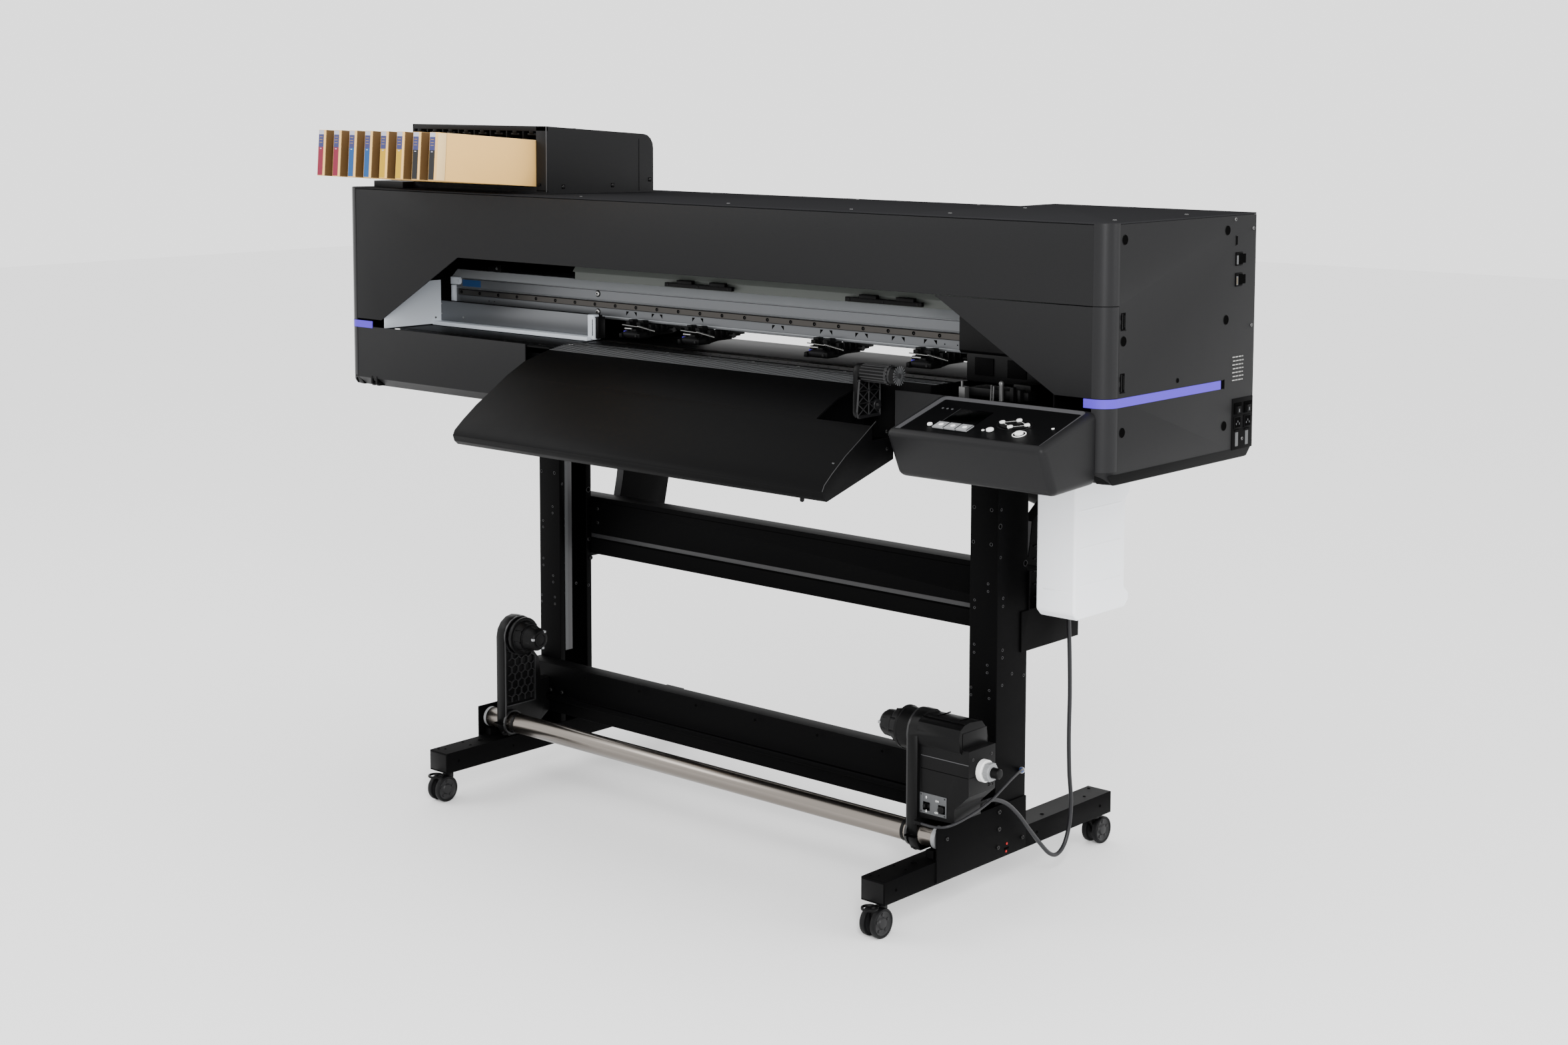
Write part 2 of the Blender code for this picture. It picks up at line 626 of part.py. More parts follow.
FRONT_COVER_TOP = COVER_TOP - 0.0006
FRONT_HINGE_Y = back(SKIN / 2.0)
FRONT_HINGE_Z = FRONT_COVER_TOP - 0.0027


def make_maintenance_cover():
    """Door over the parked carriage; it carries its rounded corner and turns on the right side."""
    low = BAND_HIGH + GAP
    high = COVER_SEAM_Z - 0.0012
    outer = HALF_BODY
    centre = (outer - CORNER_RADIUS, back(CORNER_RADIUS))
    outline = ([(0.60, back(0)), (centre[0], back(0))] + arc(*centre, CORNER_RADIUS, -90, 0, 6)
               + [(outer, back(DOOR_BACK)), (outer - SKIN, back(DOOR_BACK))]
               + arc(*centre, CORNER_RADIUS - SKIN, 0, -90, 6) + [(0.60, back(SKIN))])
    door = prism("maintenance_cover", outline, "Z", low, high, CHARCOAL)
    slope = (DOOR_LOW_X - DOOR_TOP_X) / (COVER_SEAM_Z - low)
    wedge = [(0.55, low - 0.02), (DOOR_LOW_X + slope * 0.02, low - 0.02),
             (DOOR_TOP_X - slope * 0.02, high + 0.02), (0.55, high + 0.02)]
    cut(door, prism("maintenance_cover_slope", wedge, "Y", back(-0.02), back(0.02)))
    return set_origin(door, (DOOR_HINGE_X, back(DOOR_HINGE_DEPTH), low))


DOOR_BACK = 0.0310
DOOR_HINGE_X = HALF_BODY + 0.0010
DOOR_HINGE_DEPTH = 0.0325


# ================================================================ print and cut mechanism
def make_platen():
    """Platen with its feed groove, the left deck and the rear paper guide."""
    front = back(PLATEN_FRONT)
    rear = back(PLATEN_REAR)
    groove = FEED_RADIUS + RUN
    feed_y = back(FEED_DEPTH)
    floor = FEED_CENTRE_Z - FEED_RADIUS - GAP
    wall = 0.004
    foot = BASE_TOP + GAP
    under = PLATEN_Z - PLATEN_SLAB
    outline = [(front, foot), (front, PLATEN_Z), (feed_y - groove, PLATEN_Z), (feed_y - groove, floor),
               (feed_y + groove, floor), (feed_y + groove, PLATEN_Z), (rear, PLATEN_Z),
               (back(BODY_DEPTH - 0.02), SLOT_LOW + 0.010), (back(BODY_DEPTH + 0.030), SLOT_LOW + 0.0035),
               (back(BODY_DEPTH + 0.030), SLOT_LOW + 0.001), (back(BODY_DEPTH - 0.02), SLOT_LOW + 0.0072),
               (rear, PLATEN_Z - 0.004), (rear, foot), (rear - wall, foot), (rear - wall, under),
               (front + wall, under), (front + wall, foot)]
    platen = prism("platen", outline, "X", PLATEN_LEFT, PLATEN_RIGHT, BLACK_STEEL)
    deck_left = -FRAME_INSIDE_X + GAP
    deck_front = back(SKIN + GAP)
    deck_rear = back(0.130)
    deck = [(deck_front, DECK_Z - PLATE), (deck_front, DECK_Z), (deck_rear, DECK_Z), (deck_rear, foot),
            (deck_rear - PLATE, foot), (deck_rear - PLATE, DECK_Z - PLATE)]
    bridge = box("platen_bridge", (PLATEN_LEFT - 0.002, front, DECK_Z - PLATE),
                 (PLATEN_LEFT + 0.002, deck_rear, DECK_Z))
    return join(platen, prism("platen_deck", deck, "X", deck_left, PLATEN_LEFT - GAP), bridge)


FEED_CENTRE_Z = PLATEN_Z + 0.0006 - FEED_RADIUS


def make_feed_roller():
    roller = rod("feed_roller", (PLATEN_LEFT + 0.002, back(FEED_DEPTH), FEED_CENTRE_Z),
                 (PLATEN_RIGHT - 0.002, back(FEED_DEPTH), FEED_CENTRE_Z), FEED_RADIUS, 16, STAINLESS)
    return set_origin(roller, (0.0, back(FEED_DEPTH), FEED_CENTRE_Z))


def make_front_paper_guide():
    """Curved guide ahead of the platen, a sheet with two end caps."""
    top = [(back(PLATEN_FRONT) - GAP, PLATEN_Z), (back(0.000), 0.941), (back(-0.063), 0.9238),
           (back(-0.110), 0.900), (back(-0.152), 0.873), (back(-0.190), 0.850), (back(-0.225), 0.824),
           (back(-0.245), 0.807), (back(GUIDE_NOSE), 0.797), (back(-0.2465), 0.786), (back(-0.238), 0.7785)]
    outline = top + [(back(-0.062), 0.830), (back(-0.062), 0.9205), (back(0.0), 0.938),
                     (back(PLATEN_FRONT) - GAP, PLATEN_Z - SKIN)]
    guide = prism("front_paper_guide", outline, "X", PLATEN_LEFT, GUIDE_RIGHT, BLACK_PLASTIC)
    inner = [(back(-0.055), 0.9188), (back(-0.063), 0.9205), (back(-0.110), 0.8965), (back(-0.152), 0.8695),
             (back(-0.190), 0.8463), (back(-0.225), 0.820), (back(-0.2425), 0.805), (back(-0.2468), 0.797),
             (back(-0.2437), 0.788), (back(-0.236), 0.7825), (back(-0.230), 0.770), (back(-0.05), 0.800)]
    cut(guide, prism("guide_hollow", inner, "X", PLATEN_LEFT + SKIN, GUIDE_RIGHT - SKIN))
    cut(guide, box("guide_lever_notch", (LEVER_LEFT - 0.004, back(LEVER_NOTCH), 0.868),
                   (GUIDE_RIGHT + 0.01, back(PLATEN_FRONT) + 0.01, 1.0)))
    return guide


LEVER_LEFT = 0.469
LEVER_NOTCH = -0.120
LEVER_PIVOT_DEPTH = 0.026
LEVER_PIVOT_Z = 0.905
LEVER_GRIP_DEPTH = -0.010
LEVER_GRIP_Z = 0.966
LEVER_GRIP_LENGTH = 0.080


def make_clamp_lever():
    """Lever that presses the pinch rollers on the media: ribbed arm, grip and pivot pin."""
    pivot = (back(LEVER_PIVOT_DEPTH), LEVER_PIVOT_Z)
    grip = (back(LEVER_GRIP_DEPTH), LEVER_GRIP_Z)
    outline = (arc(*grip, 0.016, 60, 200, 6) + arc(grip[0] - 0.004, 0.896, 0.012, 180, 270, 3)
               + [(pivot[0] + 0.009, 0.886), (pivot[0] + 0.009, 0.945)])
    lever = prism("clamp_lever", outline, "X", LEVER_LEFT, LEVER_LEFT + 0.010, BLACK_PLASTIC)
    handle = rod("clamp_lever_grip", (LEVER_LEFT + 0.005, *grip), (LEVER_LEFT + 0.010 + LEVER_GRIP_LENGTH, *grip),
                 0.0155, 16)
    pin = rod("clamp_lever_pin", (0.460 + GAP, *pivot), (LEVER_LEFT + 0.005, *pivot), 0.005, 12)
    join(lever, handle, pin)
    return set_origin(lever, (LEVER_LEFT, *pivot))


def make_y_beam():
    """Aluminium beam across the machine, with the linear rail on its front face."""
    front = back(BEAM_FRONT)
    rear = front + BEAM_DEPTH
    high = BEAM_LOW + BEAM_HEIGHT
    bevel = 0.018
    wall = 0.004
    rail = front - RAIL_PROUD
    outline = [(front, BEAM_LOW), (front, RAIL_LOW), (rail, RAIL_LOW), (rail, RAIL_LOW + RAIL_HEIGHT),
               (front, RAIL_LOW + RAIL_HEIGHT), (front, high - bevel), (front + bevel, high), (rear, high),
               (rear, BEAM_LOW)]
    hollow = [(front + wall, BEAM_LOW + wall), (front + wall, high - bevel - wall * 0.4),
              (front + bevel + wall * 0.4, high - wall), (rear - wall, high - wall),
              (rear - wall, BEAM_LOW + wall)]
    end = FRAME_INSIDE_X - GAP
    return prism("y_beam", outline, "X", -end, end, ALUMINIUM, holes=[hollow])


def make_pinch_bar():
    """Bar under the beam with the arms and rollers that press on the media."""
    end = FRAME_INSIDE_X - GAP
    bar_y = back(PINCH_BAR_DEPTH)
    bar = rod("pinch_bar", (-end, bar_y, PINCH_BAR_Z), (end, bar_y, PINCH_BAR_Z), 0.005, 10, BLACK_PLASTIC)
    pieces = []
    for x in PINCH_XS:
        pieces.append(box("pinch_arm", (x - 0.022, back(0.150), 0.968), (x + 0.022, bar_y + 0.004, 0.982)))
        pieces.append(rod("pinch_roller", (x - 0.018, back(0.155), 0.9655), (x + 0.018, back(0.155), 0.9655),
                          0.007, 12))
    join(bar, *pieces)
    return set_origin(bar, (0.0, bar_y, PINCH_BAR_Z))


def make_carriage():
    """Print and cut carriage on the linear rail, parked at the right."""
    right = CARRIAGE_LEFT + CARRIAGE_WIDTH
    rail_face = back(BEAM_FRONT) - RAIL_PROUD - RUN
    carriage = box("carriage", (CARRIAGE_LEFT, back(0.100), 1.000), (right, rail_face, 1.076), BLACK_PLASTIC)
    head = box("carriage_heads", (CARRIAGE_LEFT + 0.015, back(0.103), 0.9530),
               (right - 0.015, back(0.139), 1.002))
    return join(carriage, head)


# ================================================================ operation panel
PANEL_TILT = math.atan2(PANEL_BACK_Z - PANEL_FRONT_Z, PANEL_REACH)
PANEL_UP = Vector((0.0, -math.sin(PANEL_TILT), math.cos(PANEL_TILT)))
JOG_X = 0.8506
JOG_DEPTH = -0.0710
JOG_REACH_X = 0.0247
JOG_REACH_Y = 0.0135


def on_panel(x, depth, height):
    """A place above the sunk face of the panel, by its depth behind the body's front face."""
    z = PANEL_BACK_Z + depth * math.tan(PANEL_TILT)
    return Vector((x, back(depth), z)) + PANEL_UP * (height - PANEL_RECESS)


def make_panel_housing():
    face = -GAP
    outline = [(back(face), PANEL_BACK_Z), (back(-PANEL_REACH), PANEL_FRONT_Z), (back(-0.112), PANEL_BOTTOM_Z),
               (back(face), PANEL_BOTTOM_Z + 0.006)]
    housing = prism("panel_housing", outline, "X", PANEL_LEFT, PANEL_RIGHT, CHARCOAL)
    front = on_panel(0.0, -0.128, 0.0)
    rear = on_panel(0.0, -0.004, 0.0)
    lift = PANEL_UP * 0.02
    recess = [(front.y, front.z), (rear.y, rear.z), ((rear + lift).y, (rear + lift).z),
              ((front + lift).y, (front + lift).z)]
    cut(housing, prism("panel_recess", recess, "X", PANEL_LEFT + 0.010, PANEL_RIGHT - 0.020))
    return housing


def make_key(name, x, depth, width, length=None):
    """A key that travels square to the panel face; round unless a length is given."""
    low = on_panel(x, depth, KEY_FLOAT)
    high = low + PANEL_UP * KEY_HEIGHT
    if length is None:
        key = rod(name, low, high, width / 2.0, 12, KEY_WHITE)
    else:
        half_y = length / 2.0
        key = box(name, (-width / 2.0, -half_y, 0.0), (width / 2.0, half_y, KEY_HEIGHT), KEY_WHITE)
        turn = Matrix.Rotation(PANEL_TILT, 4, "X")
        key.data.transform(Matrix.Translation(low) @ turn)
    return set_origin(key, low)


def make_jog_pad():
    """One rubber pad with four round tops, for the arrow keys."""
    low = on_panel(JOG_X, JOG_DEPTH, KEY_FLOAT)
    outline = [(0.030 * math.cos(a), 0.019 * math.sin(a)) for a in (math.tau * i / 16 for i in range(16))]
    pad = prism("jog_pad", outline, "Z", 0.0, 0.0012, KEY_WHITE)
    pad.data.transform(Matrix.Translation(low) @ Matrix.Rotation(PANEL_TILT, 4, "X"))
    along = Vector((0.0, math.cos(PANEL_TILT), math.sin(PANEL_TILT)))
    for i, (right, up) in enumerate(((-JOG_REACH_X, 0), (JOG_REACH_X, 0), (0, JOG_REACH_Y), (0, -JOG_REACH_Y))):
        foot = low + Vector((right, 0, 0)) + along * up
        join(pad, rod("jog_top_" + str(i), foot + PANEL_UP * 0.0006, foot + PANEL_UP * KEY_HEIGHT, 0.0048, 10))
    return set_origin(pad, low)


def make_panel():
    make_panel_housing()
    make_key("select_key", 0.7035, -0.1075, 0.0090)
    for i in range(3):
        make_key("function_key_" + str(i + 1), 0.7272 + 0.0243 * i, -0.1070, 0.0225, 0.0225)
    make_key("power_key", 0.8228, -0.1015, 0.0130)
    make_key("enter_key", 0.8810, -0.1015, 0.0150)
    make_jog_pad()


# ================================================================ ink unit
def ink_floor(depth):
    """Height of the tilted tray that the cartridges rest on."""
    return CARTRIDGE_FRONT_Z - (depth - CARTRIDGE_FRONT) * math.tan(INK_TILT)


def make_ink_box():
    low = BODY_TOP + GAP
    sink = TOP_DROP / BODY_DEPTH
    fall = math.tan(INK_TILT)
    drop = (0.340 - INK_FRONT) * fall
    corner = 0.030
    roof = INK_TOP_FRONT - drop
    rounded = arc(back(INK_BACK - corner), roof - corner + 0.002, corner, 86, 0, 4)
    outline = ([(back(INK_FRONT), low - INK_FRONT * sink), (back(INK_FRONT), INK_TOP_FRONT)] + rounded
               + [(back(INK_BACK), low - INK_BACK * sink)])
    ink_box = prism("ink_box", outline, "X", INK_LEFT, INK_RIGHT, CHARCOAL)
    end = INK_BACK - 0.012
    front = INK_FRONT - 0.01
    head = INK_TOP_FRONT - 0.004
    hollow = [(back(front), ink_floor(front) - GAP), (back(front), head + 0.01 * fall),
              (back(end), head - (end - INK_FRONT) * fall - 0.006), (back(end), ink_floor(0.185) - GAP),
              (back(0.185), ink_floor(0.185) - GAP)]
    cut(ink_box, prism("ink_box_hollow", hollow, "X", INK_LEFT + INK_SKIN, INK_RIGHT - INK_SKIN))
    tray = box("ink_box_tray", (INK_LEFT - 0.095, back(0.030), low), (INK_LEFT + 0.002, back(0.190), 1.262))
    return join(ink_box, tray)


def make_cartridges():
    for i in range(CARTRIDGE_COUNT):
        x = CARTRIDGE_FIRST_X + CARTRIDGE_PITCH * i
        case = box("ink_cartridge_" + str(i + 1), (-CARTRIDGE_WIDTH / 2, 0.0, 0.0),
                   (CARTRIDGE_WIDTH / 2, CARTRIDGE_LENGTH, CARTRIDGE_HEIGHT), CARDBOARD)
        case.location = (x, back(CARTRIDGE_FRONT), CARTRIDGE_FRONT_Z)
        case.rotation_euler = (-INK_TILT, 0.0, 0.0)


# ================================================================ take-up and feed units
def arm_outline(roll_depth, roll_z, low):
    """Side view of a take-up arm: round head, ribbed plate, lugs on the beam ledge, tube clamp."""
    web = back(LEG_FRONT) - GAP - LOWER_BEAM_DEPTH - GAP
    ledge = web - LEDGE_PROUD - GAP
    front = back(roll_depth) - HEAD_RADIUS
    head = arc(back(roll_depth), roll_z, HEAD_RADIUS, 180, 0, 8)
    return ([(front, low + 0.020)] + head
            + [(back(roll_depth) + HEAD_RADIUS, roll_z - 0.040), (web - 0.030, roll_z - 0.058),
               (web - 0.024, 0.214), (web, 0.214), (web, LEDGE_HIGH + GAP), (ledge, LEDGE_HIGH + GAP),
               (ledge, LEDGE_LOW - GAP), (web, LEDGE_LOW - GAP), (web, LOWER_BEAM_LOW + 0.004), (web - 0.030, 0.122),
               (back(TUBE_DEPTH) + 0.026, low), (front + 0.012, low)])


def make_takeup_arm(name, x):
    arm = prism(name, arm_outline(ROLL_DEPTH, ROLL_Z, 0.1095), "X", x, x + ARM_THICK, BLACK_PLASTIC)
    bore = rod(name + "_tube_bore", (x - 0.01, back(TUBE_DEPTH), TUBE_Z),
               (x + ARM_THICK + 0.01, back(TUBE_DEPTH), TUBE_Z), TUBE_RADIUS + RUN, 20)
    cut(arm, bore)
    return arm


def make_flange(name, face_x, inward, hub):
    """Stepped flange on a hub of its own length, which plugs into the core of a roll."""
    centre = (back(ROLL_DEPTH), ROLL_Z)
    steps = ((0.0, 0.034), (hub, FLANGE_RADIUS), (hub + 0.006, FLANGE_RADIUS), (hub + 0.006, 0.033),
             (hub + 0.024, 0.030), (hub + 0.024, 0.026), (hub + 0.047, 0.024), (hub + FLANGE_REACH, 0.019))
    bm = bmesh.new()
    profile = [bm.verts.new((radius, 0.0, reach)) for reach, radius in ((0.0, 0.0), *steps, (hub + FLANGE_REACH, 0.0))]
    edges = [bm.edges.new(pair) for pair in zip(profile, profile[1:])]
    bmesh.ops.spin(bm, geom=profile + edges, cent=(0, 0, 0), axis=(0, 0, 1), angle=2 * math.pi, steps=20,
                   use_merge=True)
    bmesh.ops.remove_doubles(bm, verts=bm.verts, dist=0.00001)
    facing = Matrix.Rotation(math.radians(90) * inward, 4, "Y")
    bmesh.ops.transform(bm, matrix=Matrix.Translation((face_x, *centre)) @ facing, verts=bm.verts)
    bmesh.ops.recalc_face_normals(bm, faces=bm.faces)
    mesh = bpy.data.meshes.new(name)
    bm.to_mesh(mesh)
    bm.free()
    return set_origin(add_object(name, mesh, BLACK_PLASTIC), (face_x, *centre))


def make_motor_unit():
    """Right arm with the drive housing of the take-up."""
    arm = make_takeup_arm("takeup_right_arm", RIGHT_ARM_X)
    start = RIGHT_ARM_X + ARM_THICK - 0.002
    front = back(MOTOR_FRONT)
    rear = back(MOTOR_REAR)
    upper = [(rear - 0.002, 0.300), (front + 0.002, 0.300), (front - 0.005, 0.309), (front - 0.008, 0.331),
             (front - 0.004, 0.347), (back(0.044), 0.354), (back(0.061), 0.356), (back(0.095), 0.3525), (rear - 0.005, 0.3365), (rear - 0.002, 0.322)]
    lower = [(start, 0.172), (MOTOR_RIGHT - 0.031, 0.176), (MOTOR_RIGHT - 0.031, 0.201), (MOTOR_RIGHT, 0.230),
             (MOTOR_RIGHT, 0.311), (start, 0.311)]
    join(arm, prism("motor_upper", upper, "X", start, MOTOR_RIGHT - 0.016),
         prism("motor_lower", lower, "Y", front, rear))
    wells = []
    for label, x in (("toggle", SWITCH_TOGGLE_X), ("push", SWITCH_PUSH_X)):
        wells.append(box("well_" + label, (x - 0.0075, front - 0.01, SWITCH_Z - 0.0075),
                         (x + 0.0075, front + WELL_DEPTH, SWITCH_Z + 0.0075)))
    return cut(arm, *wells)


def make_switches():
    front = back(MOTOR_FRONT)
    axis = front + 0.004
    toggle = rod("direction_switch", (SWITCH_TOGGLE_X - 0.0066, axis, SWITCH_Z),
                 (SWITCH_TOGGLE_X + 0.0066, axis, SWITCH_Z), 0.0046, 12, BLACK_PLASTIC)
    bat = rod("direction_switch_bat", (SWITCH_TOGGLE_X, axis, SWITCH_Z),
              (SWITCH_TOGGLE_X, front - 0.008, SWITCH_Z + 0.002), 0.003, 8)
    join(toggle, bat)
    set_origin(toggle, (SWITCH_TOGGLE_X, axis, SWITCH_Z))
    push = rod("start_switch", (SWITCH_PUSH_X, front - 0.005, SWITCH_Z),
               (SWITCH_PUSH_X, front + WELL_DEPTH - 0.0008, SWITCH_Z), 0.0068, 14, BLACK_PLASTIC)
    set_origin(push, (SWITCH_PUSH_X, front - 0.005, SWITCH_Z))


def make_torque_knob():
    face = MOTOR_RIGHT + GAP
    centre = (back(LIMITER_DEPTH), LIMITER_Z)
    knob = rod("torque_knob", (face, *centre), (face + 0.012, *centre), 0.020, 16, KEY_WHITE)
    nut = rod("torque_nut", (face + 0.010, *centre), (face + 0.024, *centre), 0.016, 6)
    cap = rod("torque_cap", (face + 0.022, *centre), (face + 0.040, *centre), 0.010, 12)
    join(knob, nut, cap)
    return set_origin(knob, (face, *centre))


def make_feed_arm(name, x):
    """Rear arm that carries the supply roll, hooked on the rail of the upper beam."""
    rail = back(REAR_RAIL_DEPTH)
    behind = rail + 0.020 + GAP
    axis = (back(FEED_ROLL_DEPTH), FEED_ROLL_Z)
    outline = ([(rail - GAP, 0.450), (rail - GAP, 0.506 + GAP), (behind, 0.506 + GAP), (behind, 0.460),
                (behind + 0.014, 0.460), (axis[0] + HEAD_RADIUS, 0.640)] + arc(*axis, HEAD_RADIUS, 0, 180, 8)
               + [(back(0.362), 0.660), (back(0.356), 0.620), (back(0.346), 0.575), (back(0.354), 0.520),
                  (back(0.385), 0.470), (back(0.390), 0.450)])
    arm = prism(name, outline, "X", x, x + ARM_THICK, BLACK_PLASTIC)
    inward = 1 if x < 0 else -1
    root = x + ARM_THICK - 0.002 if inward > 0 else x + 0.002
    flange = rod(name + "_flange", (root, *axis), (root + inward * 0.055, *axis), FLANGE_RADIUS - 0.003, 16,
                 radius_end=0.024)
    return join(arm, flange)


def make_takeup():
    tube = rod("takeup_tube", (TUBE_LEFT, back(TUBE_DEPTH), TUBE_Z), (TUBE_RIGHT, back(TUBE_DEPTH), TUBE_Z),
               TUBE_RADIUS, 20, STAINLESS)
    bore = rod("takeup_tube_bore", (TUBE_LEFT - 0.01, back(TUBE_DEPTH), TUBE_Z),
               (TUBE_RIGHT + 0.01, back(TUBE_DEPTH), TUBE_Z), TUBE_RADIUS - 0.002, 20)
    cut(tube, bore)
    make_takeup_arm("takeup_left_arm", LEFT_ARM_X)
    make_motor_unit()
    make_flange("takeup_left_flange", LEFT_ARM_X + ARM_THICK + GAP, 1, LEFT_HUB)
    make_flange("takeup_right_flange", RIGHT_ARM_X - GAP, -1, RIGHT_HUB)
    make_torque_knob()
    make_switches()
    make_feed_arm("feed_left_arm", -0.516)
    make_feed_arm("feed_right_arm", 0.561)


# ================================================================ waste tank and cables
def make_waste_tank():
    """Bottle with a grip notch at its rear and a neck that hangs in the fork."""
    front = back(TANK_FRONT)
    rear = front + TANK_DEPTH
    low = TANK_LOW
    top = low + TANK_HEIGHT
    grip_low = low + 0.075
    grip_high = low + 0.172
    grip = 0.043
    outline = [(front, low + 0.012), (front, top - 0.012), (front + 0.010, top), (rear - 0.026, top),
               (rear, top - 0.014), (rear, grip_high + 0.010), (rear - 0.018, grip_high),
               (rear - grip + 0.008, grip_high), (rear - grip, grip_high - 0.010), (rear - grip, grip_low + 0.010),
               (rear - grip + 0.010, grip_low), (rear - 0.008, grip_low - 0.004), (rear, grip_low - 0.010),
               (rear, low + 0.018), (rear - 0.020, low), (front + 0.014, low)]
    tank = prism("waste_tank", outline, "X", TANK_LEFT, TANK_LEFT + TANK_WIDTH, TANK_WHITE)
    middle = (TANK_LEFT + TANK_WIDTH / 2.0, front + 0.060)
    neck = rod("waste_tank_neck", (*middle, top - 0.002), (*middle, top + 0.022), 0.016, 16)
    collar = rod("waste_tank_collar", (*middle, top + 0.019 + GAP), (*middle, top + 0.027), 0.021, 16)
    return join(tank, neck, collar)


MOTOR_CABLE_ROUTE = (
    (0.652, 0.392, 0.8397), (0.652, 0.392, 0.812), (0.651, 0.391, 0.760), (0.650, 0.388, 0.690),
    (0.650, 0.386, 0.600), (0.650, 0.387, 0.500), (0.650, 0.392, 0.420), (0.650, 0.395, 0.340),
    (0.650, 0.394, 0.260), (0.650, 0.397, 0.190), (0.650, 0.404, 0.130), (0.650, 0.399, 0.085),
    (0.650, 0.384, 0.052), (0.650, 0.361, 0.0385), (0.650, 0.336, 0.046), (0.650, 0.306, 0.072),
    (0.650, 0.270, 0.108), (0.650, 0.234, 0.145), (0.649, 0.198, 0.174), (0.648, 0.160, 0.190),
    (0.646, 0.133, 0.1905), (0.6458, 0.1148, 0.190),
)
# the thin cable starts at the leg's side, so its first two points are given from that face
SENSOR_CABLE_START = ((0.0029, 0.279, 0.2124), (0.0098, 0.267, 0.2190))
SENSOR_CABLE_ROUTE = (
    (0.6440, 0.246, 0.2215), (0.6500, 0.215, 0.2170),
    (0.6550, 0.180, 0.2080), (0.6590, 0.145, 0.1980), (0.6610, 0.110, 0.1900), (0.6610, 0.075, 0.1840),
    (0.6590, 0.045, 0.1790), (0.6520, 0.024, 0.1745), (0.6370, 0.016, 0.1705), (0.6190, 0.018, 0.1680),
    (0.5980, 0.022, 0.1665), (0.5776, 0.0225, 0.1663),
)


def make_cables():
    leg_side = stand_x(1) + LEG_WIDTH / 2.0
    sensor_route = [(leg_side + x, depth, z) for x, depth, z in SENSOR_CABLE_START]
    sensor_route += SENSOR_CABLE_ROUTE
    for name, route, radius in (("motor_cable", MOTOR_CABLE_ROUTE, 0.004),
                                ("sensor_cable", sensor_route, 0.0025)):
        points = [(x, back(depth), z) for x, depth, z in route]
        cable(name, points, radius, CABLE_GREY, radius * 5.0)


# ================================================================ the machine
def build():
    make_stand()
    make_chassis()
    make_covers()
    make_front_cover()
    make_maintenance_cover()
    make_platen()
    make_feed_roller()
    make_front_paper_guide()
    make_clamp_lever()
    make_y_beam()
    make_pinch_bar()
    make_carriage()
    make_panel()
    make_ink_box()
    make_cartridges()
    make_takeup()
    make_waste_tank()
    make_cables()


build()
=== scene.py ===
"""Looks of the wide-format printer cutter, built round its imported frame."""
import math

import bmesh
import bpy
from mathutils import Matrix, Vector


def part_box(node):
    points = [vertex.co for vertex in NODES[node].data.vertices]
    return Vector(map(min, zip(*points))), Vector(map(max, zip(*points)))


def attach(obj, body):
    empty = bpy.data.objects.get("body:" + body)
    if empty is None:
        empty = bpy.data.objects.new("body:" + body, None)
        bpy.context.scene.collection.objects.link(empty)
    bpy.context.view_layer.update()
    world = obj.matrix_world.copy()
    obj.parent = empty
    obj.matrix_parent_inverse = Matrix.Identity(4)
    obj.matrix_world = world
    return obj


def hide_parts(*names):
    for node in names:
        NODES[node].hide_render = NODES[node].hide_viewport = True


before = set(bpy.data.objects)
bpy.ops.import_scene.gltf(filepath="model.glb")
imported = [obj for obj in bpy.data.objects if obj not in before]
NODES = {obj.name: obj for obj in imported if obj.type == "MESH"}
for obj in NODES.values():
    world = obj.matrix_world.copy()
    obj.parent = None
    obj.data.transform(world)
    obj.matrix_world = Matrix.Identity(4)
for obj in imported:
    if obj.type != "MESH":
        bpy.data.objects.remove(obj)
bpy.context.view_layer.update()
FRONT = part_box("top_cover")[0].y       # front face of the body; depths run back from it
MM = 0.001


def deep(depth):
    return FRONT + depth


# ---------------------------------------------------------------- camera, light and floor
def set_camera():
    data = bpy.data.cameras.new("studio_camera")
    data.sensor_width = 36.0
    data.lens = 52.93
    data.shift_y = -0.13
    data.clip_end = 60.0
    camera = bpy.data.objects.new("studio_camera", data)
    bpy.context.scene.collection.objects.link(camera)
    turn, dip, lean = 0.7233, 0.1001, 0.0022
    camera.location = (3.0396, -3.2931, 1.4648)
    camera.matrix_world = (Matrix.Translation(camera.location) @ Matrix.Rotation(turn, 4, "Z")
                           @ Matrix.Rotation(math.pi / 2 - dip, 4, "X") @ Matrix.Rotation(lean, 4, "Z"))
    bpy.context.scene.camera = camera


def soft_box(name, spot, aim, width, height, power):
    data = bpy.data.lights.new(name, "AREA")
    data.shape = "RECTANGLE"
    data.size, data.size_y = width, height
    data.energy = power
    lamp = bpy.data.objects.new(name, data)
    bpy.context.scene.collection.objects.link(lamp)
    lamp.location = spot
    lamp.rotation_mode = "QUATERNION"
    lamp.rotation_quaternion = (Vector(spot) - Vector(aim)).to_track_quat("Z", "Y")
    return lamp


